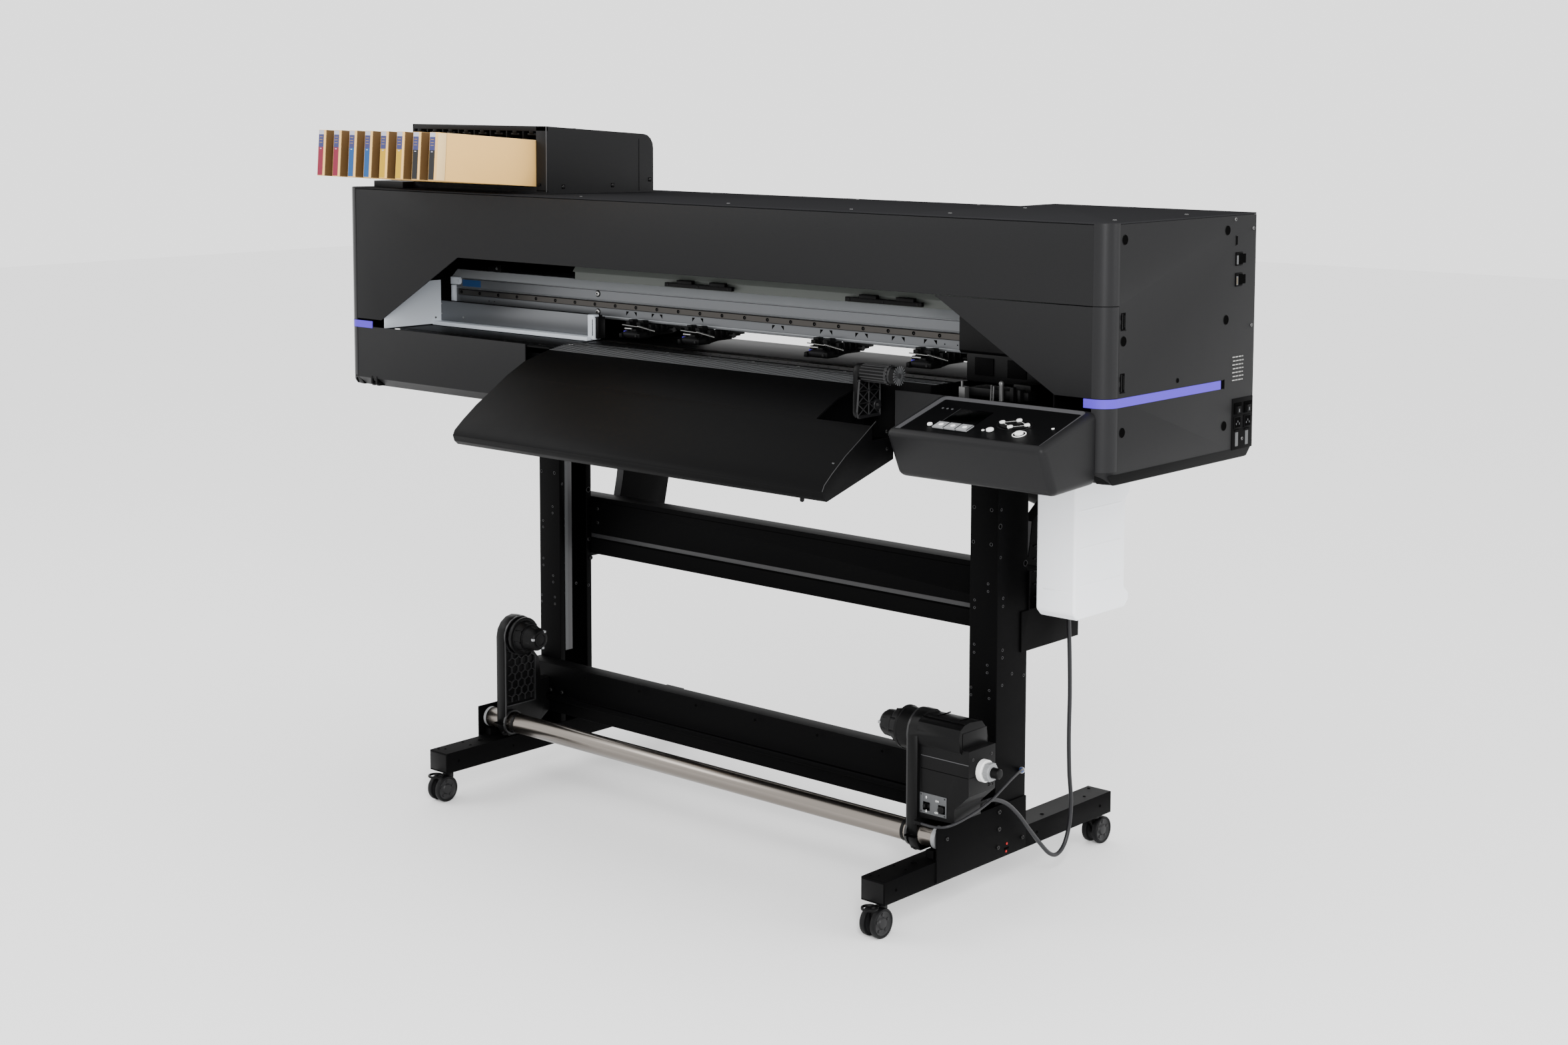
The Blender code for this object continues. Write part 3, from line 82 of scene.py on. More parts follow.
def light_studio():
    world = bpy.data.worlds.new("studio")
    world.use_nodes = True
    world.node_tree.nodes["Background"].inputs["Color"].default_value = (1.0, 1.0, 1.0, 1.0)
    world.node_tree.nodes["Background"].inputs["Strength"].default_value = 2.0
    bpy.context.scene.world = world
    soft_box("key_light", (3.2, -3.0, 2.6), (0.5, -0.1, 0.9), 0.55, 2.2, 210.0)
    soft_box("side_light", (4.6, 0.9, 2.2), (0.6, 0.0, 0.8), 1.0, 2.2, 45.0)
    soft_box("back_light", (-3.0, -2.2, 2.8), (-0.4, 0.0, 1.0), 1.8, 1.2, 40.0)
    bm = bmesh.new()
    bmesh.ops.create_grid(bm, x_segments=1, y_segments=1, size=14.0)
    mesh = bpy.data.meshes.new("studio_floor")
    bm.to_mesh(mesh)
    bm.free()
    floor = bpy.data.objects.new("studio_floor", mesh)
    bpy.context.scene.collection.objects.link(floor)
    floor.data.materials.append(PALE_FLOOR)


# ---------------------------------------------------------------- finishes
def finish(name, colour, roughness, metallic=0.0, grain=900.0, relief=0.03, cloud=0.05, cloud_size=7.0,
           uneven=0.05, stretch=(1.0, 1.0, 1.0), specular=0.2):
    """Surface with a fine grain in its bump, its relief in millimetres, and a faint cloud in colour and roughness."""
    material = bpy.data.materials.new(name)
    material.use_nodes = True
    nodes, links = material.node_tree.nodes, material.node_tree.links
    shader = nodes["Principled BSDF"]
    shader.inputs["Metallic"].default_value = metallic
    shader.inputs["Specular IOR Level"].default_value = specular
    place = nodes.new("ShaderNodeTexCoord")
    aligned = nodes.new("ShaderNodeMapping")
    aligned.inputs["Scale"].default_value = stretch
    links.new(place.outputs["Object"], aligned.inputs["Vector"])
    drift = nodes.new("ShaderNodeTexNoise")
    drift.inputs["Scale"].default_value = cloud_size
    drift.inputs["Detail"].default_value = 5.0
    drift.inputs["Roughness"].default_value = 0.6
    links.new(aligned.outputs["Vector"], drift.inputs["Vector"])
    tint = nodes.new("ShaderNodeMix")
    tint.data_type = "RGBA"
    tint.inputs["A"].default_value = (*[c * (1.0 - cloud) for c in colour], 1.0)
    tint.inputs["B"].default_value = (*[min(1.0, c * (1.0 + cloud)) for c in colour], 1.0)
    links.new(drift.outputs["Fac"], tint.inputs["Factor"])
    links.new(tint.outputs["Result"], shader.inputs["Base Color"])
    rub = nodes.new("ShaderNodeMapRange")
    rub.inputs["To Min"].default_value = max(0.02, roughness - uneven)
    rub.inputs["To Max"].default_value = min(1.0, roughness + uneven)
    links.new(drift.outputs["Fac"], rub.inputs["Value"])
    links.new(rub.outputs["Result"], shader.inputs["Roughness"])
    speck = nodes.new("ShaderNodeTexNoise")
    speck.inputs["Scale"].default_value = grain
    speck.inputs["Detail"].default_value = 2.0
    links.new(aligned.outputs["Vector"], speck.inputs["Vector"])
    bump = nodes.new("ShaderNodeBump")
    bump.inputs["Strength"].default_value = 0.8
    bump.inputs["Distance"].default_value = relief * MM
    links.new(speck.outputs["Fac"], bump.inputs["Height"])
    links.new(bump.outputs["Normal"], shader.inputs["Normal"])
    return material


PALE_FLOOR = finish("pale_floor", (0.9, 0.9, 0.9), 0.7, grain=60, relief=0.2, cloud=0.01, cloud_size=0.6,
            specular=0.5)
CHARCOAL = finish("charcoal_sand_texture", (0.0075, 0.0075, 0.0079), 0.55, relief=0.12, specular=0.1)
GUIDE_BLACK = finish("guide_powder_coat", (0.0011, 0.0011, 0.0012), 0.5, grain=1500, relief=0.05, cloud=0.1,
            specular=0.05)
BLACK_COAT = finish("black_powder_coat", (0.0008, 0.0008, 0.0009), 0.55, grain=1300, relief=0.08, cloud=0.15,
            specular=0.03)
BLACK_MOULDED = finish("black_moulding", (0.0016, 0.0016, 0.0017), 0.42, grain=1800, relief=0.04, cloud=0.12,
            specular=0.1)
BLACK_GLOSS = finish("black_gloss", (0.0004, 0.0004, 0.0005), 0.2, grain=300, relief=0.01, cloud=0.1, specular=0.04)
PANEL_MOULDED = finish("panel_moulding", (0.0062, 0.0062, 0.0066), 0.44, relief=0.1, specular=0.12)
WHITE_ENAMEL = finish("pale_enamel", (0.56, 0.6, 0.65), 0.42, grain=700, cloud=0.03)
ANODISED = finish("anodised_extrusion", (0.135, 0.14, 0.147), 0.4, 0.75, grain=1400, relief=0.02, cloud=0.06,
            stretch=(0.02, 1, 1), specular=0.5)
RAIL_STEEL = finish("ground_rail_steel", (0.06, 0.056, 0.052), 0.34, 1, grain=1800, relief=0.02, cloud=0.04,
            stretch=(0.02, 1, 1), specular=0.5)
TUBE_STEEL = finish("polished_tube", (0.2, 0.18, 0.16), 0.26, 1, grain=1500, relief=0.02, cloud=0.1, uneven=0.06,
            stretch=(0.015, 1, 1), specular=0.5)
ZINC = finish("zinc_plate", (0.4, 0.4, 0.39), 0.32, 1, cloud=0.12, cloud_size=60, specular=0.5)
YELLOW_ZINC = finish("yellow_zinc_plate", (0.12, 0.085, 0.035), 0.4, 1, cloud=0.12, cloud_size=60, specular=0.5)
DARK_SCREW = finish("blackened_screw", (0.012, 0.012, 0.012), 0.36, 0.6, cloud=0.12, specular=0.4)
HOLE_BLACK = finish("shadowed_hole", (0.0006, 0.0006, 0.0006), 0.9, cloud=0.1, specular=0.02)
VIOLET = finish("violet_band", (0.062, 0.026, 0.42), 0.45, relief=0.05, cloud=0.04)
CREAM = finish("cream_case", (0.7, 0.42, 0.13), 0.55, grain=260, relief=0.05, cloud_size=14)
BOTTLE = finish("milky_bottle", (0.86, 0.88, 0.91), 0.38, grain=40, relief=0.3, cloud=0.02, specular=0.5)
KEY_PALE = finish("pale_key", (0.74, 0.74, 0.73), 0.45, grain=1400, cloud=0.03, cloud_size=40, specular=0.3)
KEY_GREY = finish("grey_key", (0.2, 0.205, 0.21), 0.45, grain=1400, cloud=0.03, cloud_size=40, specular=0.3)
TREAD = finish("castor_tread", (0.0035, 0.0035, 0.0038), 0.55, grain=500, relief=0.1, cloud=0.2, cloud_size=40,
            specular=0.12)
CASTOR_HUB = finish("castor_hub", (0.009, 0.009, 0.0095), 0.42, relief=0.05, cloud=0.15, cloud_size=40)
SHEATH = finish("cable_sheath", (0.01, 0.01, 0.0115), 0.42, grain=700, relief=0.05, cloud=0.1, cloud_size=30,
            specular=0.25)
# painted highlight: pale grey standing for light caught on edges, seams and hole rims
EDGE_HIGHLIGHT_GREY = finish("painted_edge_highlight", (0.04, 0.04, 0.042), 0.42, relief=0.05, cloud=0.08, specular=0.3)
VENT_PALE = finish("vent_mesh", (0.25, 0.25, 0.24), 0.5, 0.3, cloud=0.1, specular=0.5)
LABEL_BLUE = finish("neutral_label_blue", (0.012, 0.05, 0.15), 0.55, grain=700, cloud=0.04)
STRIP_GREY = finish("light_strip", (0.115, 0.125, 0.115), 0.4, grain=700, cloud=0.04)
# painted highlight: pale grey standing for light on the beam lip's sloping face
LIP_PAINTED_HIGHLIGHT = finish("beam_lip_painted_highlight", (0.34, 0.355, 0.37), 0.42, relief=0.06, cloud=0.06, specular=0.3)
DISC_GREY = finish("grip_end_disc", (0.02, 0.02, 0.021), 0.42, grain=700, relief=0.04, cloud=0.06, specular=0.3)
LEVER_GREY = finish("lever_moulding", (0.008, 0.008, 0.0085), 0.42, grain=1500, relief=0.04, cloud=0.08)
STRIP_SATIN = finish("corner_strip_satin", (0.0085, 0.0085, 0.0092), 0.36, 0.35, grain=1100, relief=0.06, cloud=0.04,
            specular=0.25)
PANEL_FACE = finish("panel_face_film", (0.0012, 0.0012, 0.0014), 0.5, grain=1600, specular=0.05)
DISPLAY_GLASS = finish("display_glass", (0.0003, 0.0005, 0.0004), 0.15, grain=200, relief=0.01, specular=0.06)
LAMP_GREY = finish("unlit_lamp", (0.05, 0.052, 0.054), 0.35, relief=0.02, specular=0.3)
TOP_MATTE = finish("top_cover_matte", (0.0165, 0.0165, 0.0175), 0.75, relief=0.12, specular=0)
# painted highlight: light grey for the walls round the panel's sunk face
RIM_PAINTED_HIGHLIGHT = finish("panel_rim_painted_highlight", (0.05, 0.05, 0.053), 0.42, relief=0.08, specular=0.3)
# painted highlight: ribs and edge trim a little lighter than their black moulding
RIB_PAINTED_HIGHLIGHT = finish("rib_edge_painted_highlight", (0.01, 0.01, 0.0105), 0.4, specular=0.35)
# painted shade: dark brown card for cartridge flanks that a neighbouring cartridge shades
CREAM_PAINTED_SHADE = finish("card_flank_painted_shade", (0.075, 0.042, 0.016), 0.6, grain=260, relief=0.05, specular=0.1)
CREAM_LIGHT = finish("cream_front_block", (0.74, 0.52, 0.25), 0.5, grain=260, relief=0.04, cloud=0.04)
SEAM_BROWN = finish("card_seam", (0.24, 0.14, 0.05), 0.6, grain=260, relief=0.04, specular=0.5)
LABEL_PALE = finish("label_pale", (0.36, 0.36, 0.44), 0.5, relief=0.02, cloud=0.02)
LABEL_VIOLET = finish("label_violet", (0.03, 0.033, 0.115), 0.5, relief=0.02)
LABEL_MAGENTA = finish("label_magenta", (0.17, 0.008, 0.028), 0.5, relief=0.02)
LABEL_CYAN = finish("label_cyan", (0.006, 0.06, 0.19), 0.5, relief=0.02)
LABEL_YELLOW = finish("label_yellow", (0.42, 0.25, 0.004), 0.5, relief=0.02)
LABEL_BLACK = finish("label_black", (0.006, 0.006, 0.0065), 0.45, relief=0.02)
MARK_RED = finish("red_mark", (0.42, 0.004, 0.006), 0.45, relief=0.02)
ZINC_DARK = finish("dull_zinc", (0.1, 0.1, 0.1), 0.42, 0.8, cloud=0.1, specular=0.5)
CLIP_GREY = finish("pale_clip", (0.2, 0.205, 0.21), 0.45, specular=0.5)
PLATE_GREY = finish("switch_plate_grey", (0.06, 0.062, 0.064), 0.45, relief=0.04)
CONNECTOR_BLUE = finish("connector_blue", (0.02, 0.055, 0.22), 0.4, cloud=0.06, specular=0.5)


# ---------------------------------------------------------------- shaping helpers
def round_edges(piece, edge, smooth=True):
    """Merged faces, small round edges and smooth shading on a piece, as modifiers."""
    weld = piece.modifiers.new("weld", "WELD")
    weld.merge_threshold = 0.00001
    flatten = piece.modifiers.new("flatten", "DECIMATE")
    flatten.decimate_type = "DISSOLVE"
    flatten.angle_limit = math.radians(0.5)
    bevel = piece.modifiers.new("bevel", "BEVEL")
    bevel.width = edge
    bevel.segments = 2
    bevel.limit_method = "ANGLE"
    bevel.angle_limit = math.radians(32.0)
    bevel.harden_normals = True
    for face in piece.data.polygons:
        face.use_smooth = smooth


def dress(names, material, edge=0.0006):
    """A finish and round edges for CAD pieces that keep their shape."""
    for name in names.split():
        node = NODES[name]
        for slot in range(max(1, len(node.data.materials))):
            if slot < len(node.data.materials):
                node.data.materials[slot] = material
            else:
                node.data.materials.append(material)
        round_edges(node, edge)


BENCH = bmesh.new()       # the shape helpers add to this mesh; piece() takes it up and leaves the bench empty


def pour(part):
    """Adds a finished small shape to the bench."""
    mesh = bpy.data.meshes.new("poured")
    part.to_mesh(mesh)
    part.free()
    BENCH.from_mesh(mesh)
    bpy.data.meshes.remove(mesh)


def paint_and_pour(part, paint, soften=0.0):
    for face in part.faces:
        face.material_index = paint
    if soften:
        bmesh.ops.bevel(part, geom=list(part.edges), offset=soften, offset_type="OFFSET", affect="EDGES",
                        segments=2, profile=0.5, material=-1)
    pour(part)


def block(low, high, paint=0, soften=0.0):
    """Rectangular block between two corners, with softened edges if asked."""
    low, high = Vector(low), Vector(high)
    part = bmesh.new()
    bmesh.ops.create_cube(part, size=1.0)
    bmesh.ops.scale(part, vec=high - low, verts=part.verts)
    bmesh.ops.translate(part, vec=(low + high) / 2, verts=part.verts)
    paint_and_pour(part, paint, soften)


def slabs(*rows, x=0.0, y=FRONT, z=0.0):
    """Blocks given as x0, x1, y0, y1, z0, z1, paint and softening, in millimetres from a place in metres."""
    for x0, x1, y0, y1, z0, z1, *paint_and_soften in rows:
        paint, soften = (*paint_and_soften, 0, 0)[:2]
        block((x + x0 * MM, y + y0 * MM, z + z0 * MM), (x + x1 * MM, y + y1 * MM, z + z1 * MM), paint, soften * MM)


def barrel(start, end, radius, far_radius=None, sides=24, paint=0):
    """Round bar or cone between two points."""
    start, end = Vector(start), Vector(end)
    along = end - start
    place = Matrix.Translation((start + end) / 2) @ along.to_track_quat("Z", "Y").to_matrix().to_4x4()
    part = bmesh.new()
    bmesh.ops.create_cone(part, cap_ends=True, cap_tris=False, segments=sides, radius1=radius,
                          radius2=radius if far_radius is None else far_radius, depth=along.length, matrix=place)
    paint_and_pour(part, paint)


def mm(*pairs, a=0.0, b=0.0):
    """Pairs of millimetres in metres, counted from a and b."""
    return [(a + p * MM, b + q * MM) for p, q in pairs]


def side_view(*pairs):
    """Outline seen from the side: pairs of depth and height in millimetres, as y and z in metres."""
    return mm(*pairs, a=FRONT)


def turned(profile, base, axis, steps=32, paint=0, bands=()):
    """Turned shape; the profile's pairs are distance along the axis and radius. Bands repaint its stretches."""
    part = bmesh.new()
    line = [part.verts.new((max(radius, 0.0), 0.0, along)) for along, radius in profile]
    rims = [part.edges.new(pair) for pair in zip(line, line[1:])]
    bmesh.ops.spin(part, geom=line + rims, cent=(0, 0, 0), axis=(0, 0, 1), angle=math.tau, steps=steps,
                   use_merge=True)
    bmesh.ops.remove_doubles(part, verts=part.verts, dist=0.000001)
    for face in part.faces:
        face.material_index = paint
        middle = face.calc_center_median()
        for low, high, inner, outer, other in bands:
            if low <= middle.z <= high and inner <= middle.xy.length <= outer:
                face.material_index = other
    turn = Vector(axis).to_track_quat("Z", "Y").to_matrix().to_4x4()
    bmesh.ops.transform(part, matrix=Matrix.Translation(base) @ turn, verts=part.verts)
    pour(part)


AXIS_ORDER = {"X": lambda a, b, t: (t, a, b), "Y": lambda a, b, t: (a, t, b), "Z": lambda a, b, t: (a, b, t)}


def drawn(outline, axis, start, end, paint=0, soften=0.0):
    """Flat outline square to an axis, drawn out along it."""
    order = AXIS_ORDER[axis]
    part = bmesh.new()
    face = part.faces.new([part.verts.new(order(a, b, start)) for a, b in outline])
    grown = bmesh.ops.extrude_face_region(part, geom=[face])["geom"]
    moved = [g for g in grown if isinstance(g, bmesh.types.BMVert)]
    bmesh.ops.translate(part, vec=Vector(order(0.0, 0.0, end - start)), verts=moved)
    paint_and_pour(part, paint, soften)


def piece(name, finishes, body, slot=None, stands_for="", edge=0.0, crease=34.0):
    """The bench's mesh as a finished piece on its CAD body, smooth but for its creases."""
    bmesh.ops.recalc_face_normals(BENCH, faces=BENCH.faces)
    mesh = bpy.data.meshes.new(name)
    BENCH.to_mesh(mesh)
    BENCH.clear()
    for material in finishes:
        mesh.materials.append(material)
    made = bpy.data.objects.new(name, mesh)
    bpy.context.scene.collection.objects.link(made)
    if edge:
        round_edges(made, edge)
    else:
        mesh.shade_smooth()
        mesh.set_sharp_from_angle(angle=math.radians(crease))
    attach(made, body)
    if stands_for:
        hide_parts(*stands_for.split())
    return made


def screw_head(spot, out, radius, paint=0, socket=1, height=0.0016):
    """Domed screw head with a sunk hexagon socket."""
    turned([(-0.0005, 0.0), (-0.0005, radius), (height * 0.35, radius), (height * 0.8, radius * 0.86),
            (height, radius * 0.62), (height, radius * 0.4)], spot, out, steps=16, paint=paint)
    turned([(height, radius * 0.4), (height * 0.2, radius * 0.38), (height * 0.2, 0.0)], spot, out, steps=6,
           paint=socket)


def plugged_hole(spot, out, radius, rim=0, dark=1):
    """Round hole: a fine raised rim round a sunk dark floor."""
    turned([(-0.0004, radius + 0.0008), (0.0003, radius + 0.0007), (0.00045, radius + 0.0003),
            (0.0002, radius), (-0.0004, radius)], spot, out, steps=28, paint=rim)
    turned([(0.00012, radius), (0.00008, radius * 0.6), (0.00008, 0.0)], spot, out, steps=28, paint=dark)


# ---------------------------------------------------------------- body and its fittings
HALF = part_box("right_side_cover")[1].x
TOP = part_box("top_cover")[1].z
BAND_LOW, BAND_HIGH = 0.9452, 0.9602
BAND_TALL = 15
OUT_RIGHT = (1.0, 0.0, 0.0)
UP = (0.0, 0.0, 1.0)
TOWARDS = (0.0, -1.0, 0.0)


def corner_band(side, front_end, rear_depth, proud=0.0006):
    """Plan of a thin strip that wraps a front corner of the body."""
    thick, radius = proud + 0.0008, 0.03
    centre = (side * (HALF - radius), deep(radius))

    def line(extra):
        turn = [(centre[0] + side * (radius + extra) * math.sin(math.radians(a)),
                 centre[1] - (radius + extra) * math.cos(math.radians(a))) for a in range(0, 91, 9)]
        return [(front_end, deep(-extra))] + turn + [(side * (HALF + extra), deep(rear_depth))]
    return line(proud) + line(proud - thick)[::-1]


def make_violet_bands():
    drawn(corner_band(1, 0.9366, 0.3528), "Z", BAND_LOW, BAND_HIGH)
    drawn(corner_band(-1, -0.9, 0.3528), "Z", BAND_LOW, BAND_HIGH)
    piece("violet_bands", [VIOLET], "machine", "charcoal_cover")


SIDE_HOLES = ((0.0451, 1.2194), (0.3665, 1.2203), (0.3665, 1.065), (0.0451, 1.0535), (0.0451, 0.9031),
              (0.3665, 0.8792))
SIDE_SCREWS = ((0.3919, 1.2385), (0.4528, 1.2206), (0.4528, 1.0497))


CORNER_STRIPS = (("lower_right", 1, 0.84, 0.9446, "machine"), ("door", 1, 0.9612, 1.1112, "maintenance_cover"),
                 ("upper_right", 1, 1.1128, 1.2468, "front_cover"), ("lower_left", -1, 0.84, 0.9446, "machine"),
                 ("upper_left", -1, 0.9612, 1.2468, "front_cover"))


def make_corner_strips():
    """Satin strips over the rounded front corners, one on each cover they belong to."""
    for name, side, low, high, body in CORNER_STRIPS:
        drawn(corner_band(side, side * (HALF - 0.0306), 0.0303, 0.0003), "Z", low, high)
        piece(f"corner_strip_{name}", [STRIP_SATIN], body, "charcoal_cover")


def make_side_fittings():
    """Everything set in the right side panel: holes, hinges, ports, vent, inlets and the band's sunk end."""
    for depth, z in SIDE_HOLES:
        plugged_hole((HALF, deep(depth), z), OUT_RIGHT, 0.0083)
    plugged_hole((HALF, deep(0.2127), 0.9735), OUT_RIGHT, 0.0042)
    for depth, z in SIDE_SCREWS:
        screw_head((HALF, deep(depth), z), OUT_RIGHT, 0.0034, paint=2)
    # sunk end of the band
    slabs((-1, 0.25, 353.2, 364, 0, BAND_TALL, 1), (-1, 0.9, 364, 367.2, -1, BAND_TALL + 1, 0, 0.4), x=HALF,
          z=BAND_LOW)
    # door hinges: a sunk slot, its leaf and the knuckle
    for low, tall in ((1.0726, 27.7), (0.9699, 30.9)):
        slabs((-1, 0.2, 37.2, 50, 0, tall, 1), (-1, 1.6, 38.4, 40.2, 1, tall - 1, 0, 0.4),
              (-1, 2, 36.2, 38.5, 1, 9.5, 3, 0.6), (-1, 2, 36.2, 38.5, tall / 2 + 2, tall / 2 + 10.5, 3, 0.6),
              (-1, 1, 44, 48, 4, tall - 4, 3, 0.6), (-1, 1.2, 36.6, 51, -1.5, -0.3, 3), x=HALF, z=low)
    # slot port and two network-type ports
    slabs((-1, 0.5, 393, 400.5, 1192.5, 1210.5, 0, 0.3), (-1, 0.7, 394, 399.5, 1193.7, 1209.3, 1),
          (-1, 2.1, 396.8, 399.2, 1125, 1137, 6), x=HALF)
    for z in (1.1692, 1.133):
        slabs((-1, 1.6, 394, 417, -11.8, 11.8, 3, 0.8), (-1, 1.8, 396, 402, -9.5, 6, 4, 0.3),
              (-1, 1.85, 404.5, 416.5, -9.5, 9.5, 1), (-1, 0.4, 417, 429, -8, 8, 1), x=HALF, z=z)
    # vent of short slots
    for row in range(7):
        for column in range(4):
            start = 391.2 + 10.5 * column + 1.8 * (row % 2)
            end = start + (8.2 if column < 3 else 4.2)
            slabs((-1, 0.2, start, end, -1.1, 1.1, 5), (-1, 0.3, start, end, -1.9, -1.1, 1), x=HALF,
                  z=0.9565 + row * 0.0068)
    # switch and inlet block at the rear corner
    slabs((-1, 1.2, 392.5, 462.2, 833, 924, 3, 0.8), x=HALF)
    for start in (0.3975, 0.4315):
        near = deep(start)
        slabs((0, 2.4, 0, 25.5, 896, 916, 1, 0.6), (0, 6.2, 10, 12.5, 900, 905.5, 4),
              (0, 2.2, 0, 25.5, 870, 892.5, 3, 0.6), (0, 2.4, 3.5, 22, 872.5, 890, 1),
              (0, 2.7, 6.6, 8.4, 877, 880.5, 4), (0, 2.7, 11.6, 13.4, 881, 884.5, 4),
              (0, 2.7, 16.6, 18.4, 877, 880.5, 4), (0, 1.9, 6, 15.5, 839, 864, 4, 0.6), x=HALF, y=near)
        drawn(mm((1, 3), (5.8, 5.5), (3.4, 22.5), (1, 22.5), a=HALF, b=near), "Z", 0.8975, 0.91, 3)
        drawn(mm((0, 2), (3, 4), (3, 18.5), (0, 20.5), a=HALF, b=near), "Z", 0.8655, 0.868, 3)
    screw_head((HALF + 0.001, deep(0.4265), 0.851), OUT_RIGHT, 0.0032, paint=2)
    piece("side_fittings", [BLACK_MOULDED, HOLE_BLACK, ZINC_DARK, BLACK_COAT, PLATE_GREY, VENT_PALE, YELLOW_ZINC],
          "machine", "black_plastic")


def make_lower_chamfer_shade():
    """Smooth black strip along the lower edge of the right side, between the front and rear chamfers, painted flat on
    the side as the shade of its under-chamfer.
    """
    low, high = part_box("right_side_cover")
    outline = [(low.y + 0.02, low.z + 0.0008), (high.y - 0.019, low.z + 0.0008), (high.y - 0.003, low.z + 0.0175),
                (low.y + 0.004, low.z + 0.0175)]
    drawn(outline, "X", HALF - 0.0005, HALF + 0.0004, 0, 0.0002)
    piece("side_lower_chamfer_shade", [GUIDE_BLACK], "machine", "charcoal_cover")


def make_corner_chamfers():
    """Dark sloping blocks that close the lower front corners under the rounded strips."""
    for side, name in ((-1, "left"), (1, "right")):
        loops = []
        for z, reach, inset in ((0.8406, 0.03, 0.0004), (0.8184, 0.012, 0.0004)):
            centre = (HALF - 0.03 - inset, deep(0.03))
            loop = [(side * 0.952, deep(0.03) - reach)]
            loop += [(side * (centre[0] + 0.03 * math.sin(a)),
                      centre[1] - reach * math.cos(a)) for a in (math.pi / 2 * n / 10 for n in range(11))]
            loop += [(side * (centre[0] + 0.03), deep(0.07)), (side * 0.952, deep(0.07))]
            loops.append([BENCH.verts.new((x, y, z)) for x, y in loop])
        top, bottom = loops
        for n in range(len(top)):
            m = (n + 1) % len(top)
            BENCH.faces.new((top[n], top[m], bottom[m], bottom[n]))
        BENCH.faces.new(top)
        BENCH.faces.new(bottom[::-1])
        piece(f"corner_chamfer_{name}", [GUIDE_BLACK], "machine", "charcoal_cover")


def make_rear_details():
    """Seams, screws and cable covers of the rear sheet."""
    low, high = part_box("rear_cover")
    back = high.y
    for x in (-0.56, 0.56):
        block((x - 0.0006, back - 0.001, low.z + 0.002), (x + 0.0006, back + 0.0002, high.z - 0.002), 1)
    for x in (-0.94, -0.6, -0.52, -0.2, 0.2, 0.52, 0.6, 0.94):
        for z in (low.z + 0.016, high.z - 0.016):
            screw_head((x, back, z), (0, 1, 0), 0.0034, height=0.0012)
    for n in range(14):
        z = 1.13 + 0.0055 * n
        slabs((640, 760, -1, 0.2, 0, 2.6, 1), y=back, z=z)
    for n in range(8):
        z = 0.9 + 0.0055 * n
        slabs((-860, -760, -1, 0.2, 0, 2.6, 1), y=back, z=z)
    piece("rear_seams_and_screws", [DARK_SCREW, HOLE_BLACK], "machine")


def make_top_details():
    """Screws on top and the small clamp under the left end."""
    for x, depth in ((0.6153, 0.0585), (0.6093, 0.2892), (0.9404, 0.0779), (0.934, 0.3101)):
        screw_head((x, deep(depth), TOP), UP, 0.0036, height=0.0012)
    slope = 0.007 / 0.463
    for x, depth in ((-0.3, 0.05), (0.1, 0.05), (0.4, 0.05), (-0.3, 0.43), (0.1, 0.43), (0.4, 0.43)):
        screw_head((x, deep(depth), TOP - depth * slope), UP, 0.0032, height=0.001)
    piece("top_screws", [ZINC_DARK, HOLE_BLACK], "machine")
    for x in (-0.905, -0.889):
        slabs((-4.5, 4.5, 3.5, 33, 820.5, 829, 0, 1), (-3, 3, -1, 10, 824, 841, 0, 1), x=x)
    barrel((-0.9105, deep(0.01), 0.827), (-0.8835, deep(0.01), 0.827), 0.003, sides=12)
    screw_head((-0.897, deep(0.002), 0.8345), TOWARDS, 0.003, paint=1, socket=0)
    piece("left_end_clamp", [BLACK_MOULDED, DARK_SCREW], "machine")


# ---------------------------------------------------------------- inside of the window
BEAM_FRONT = deep(0.195)
INSIDE = 0.8677
RAIL_HOLE_PITCH, RAIL_HOLES = 0.06, 29
ARROW_PAIRS = (-0.3046, -0.2315, -0.1177, 0.0964, 0.219, 0.3058, 0.3939, 0.4692)


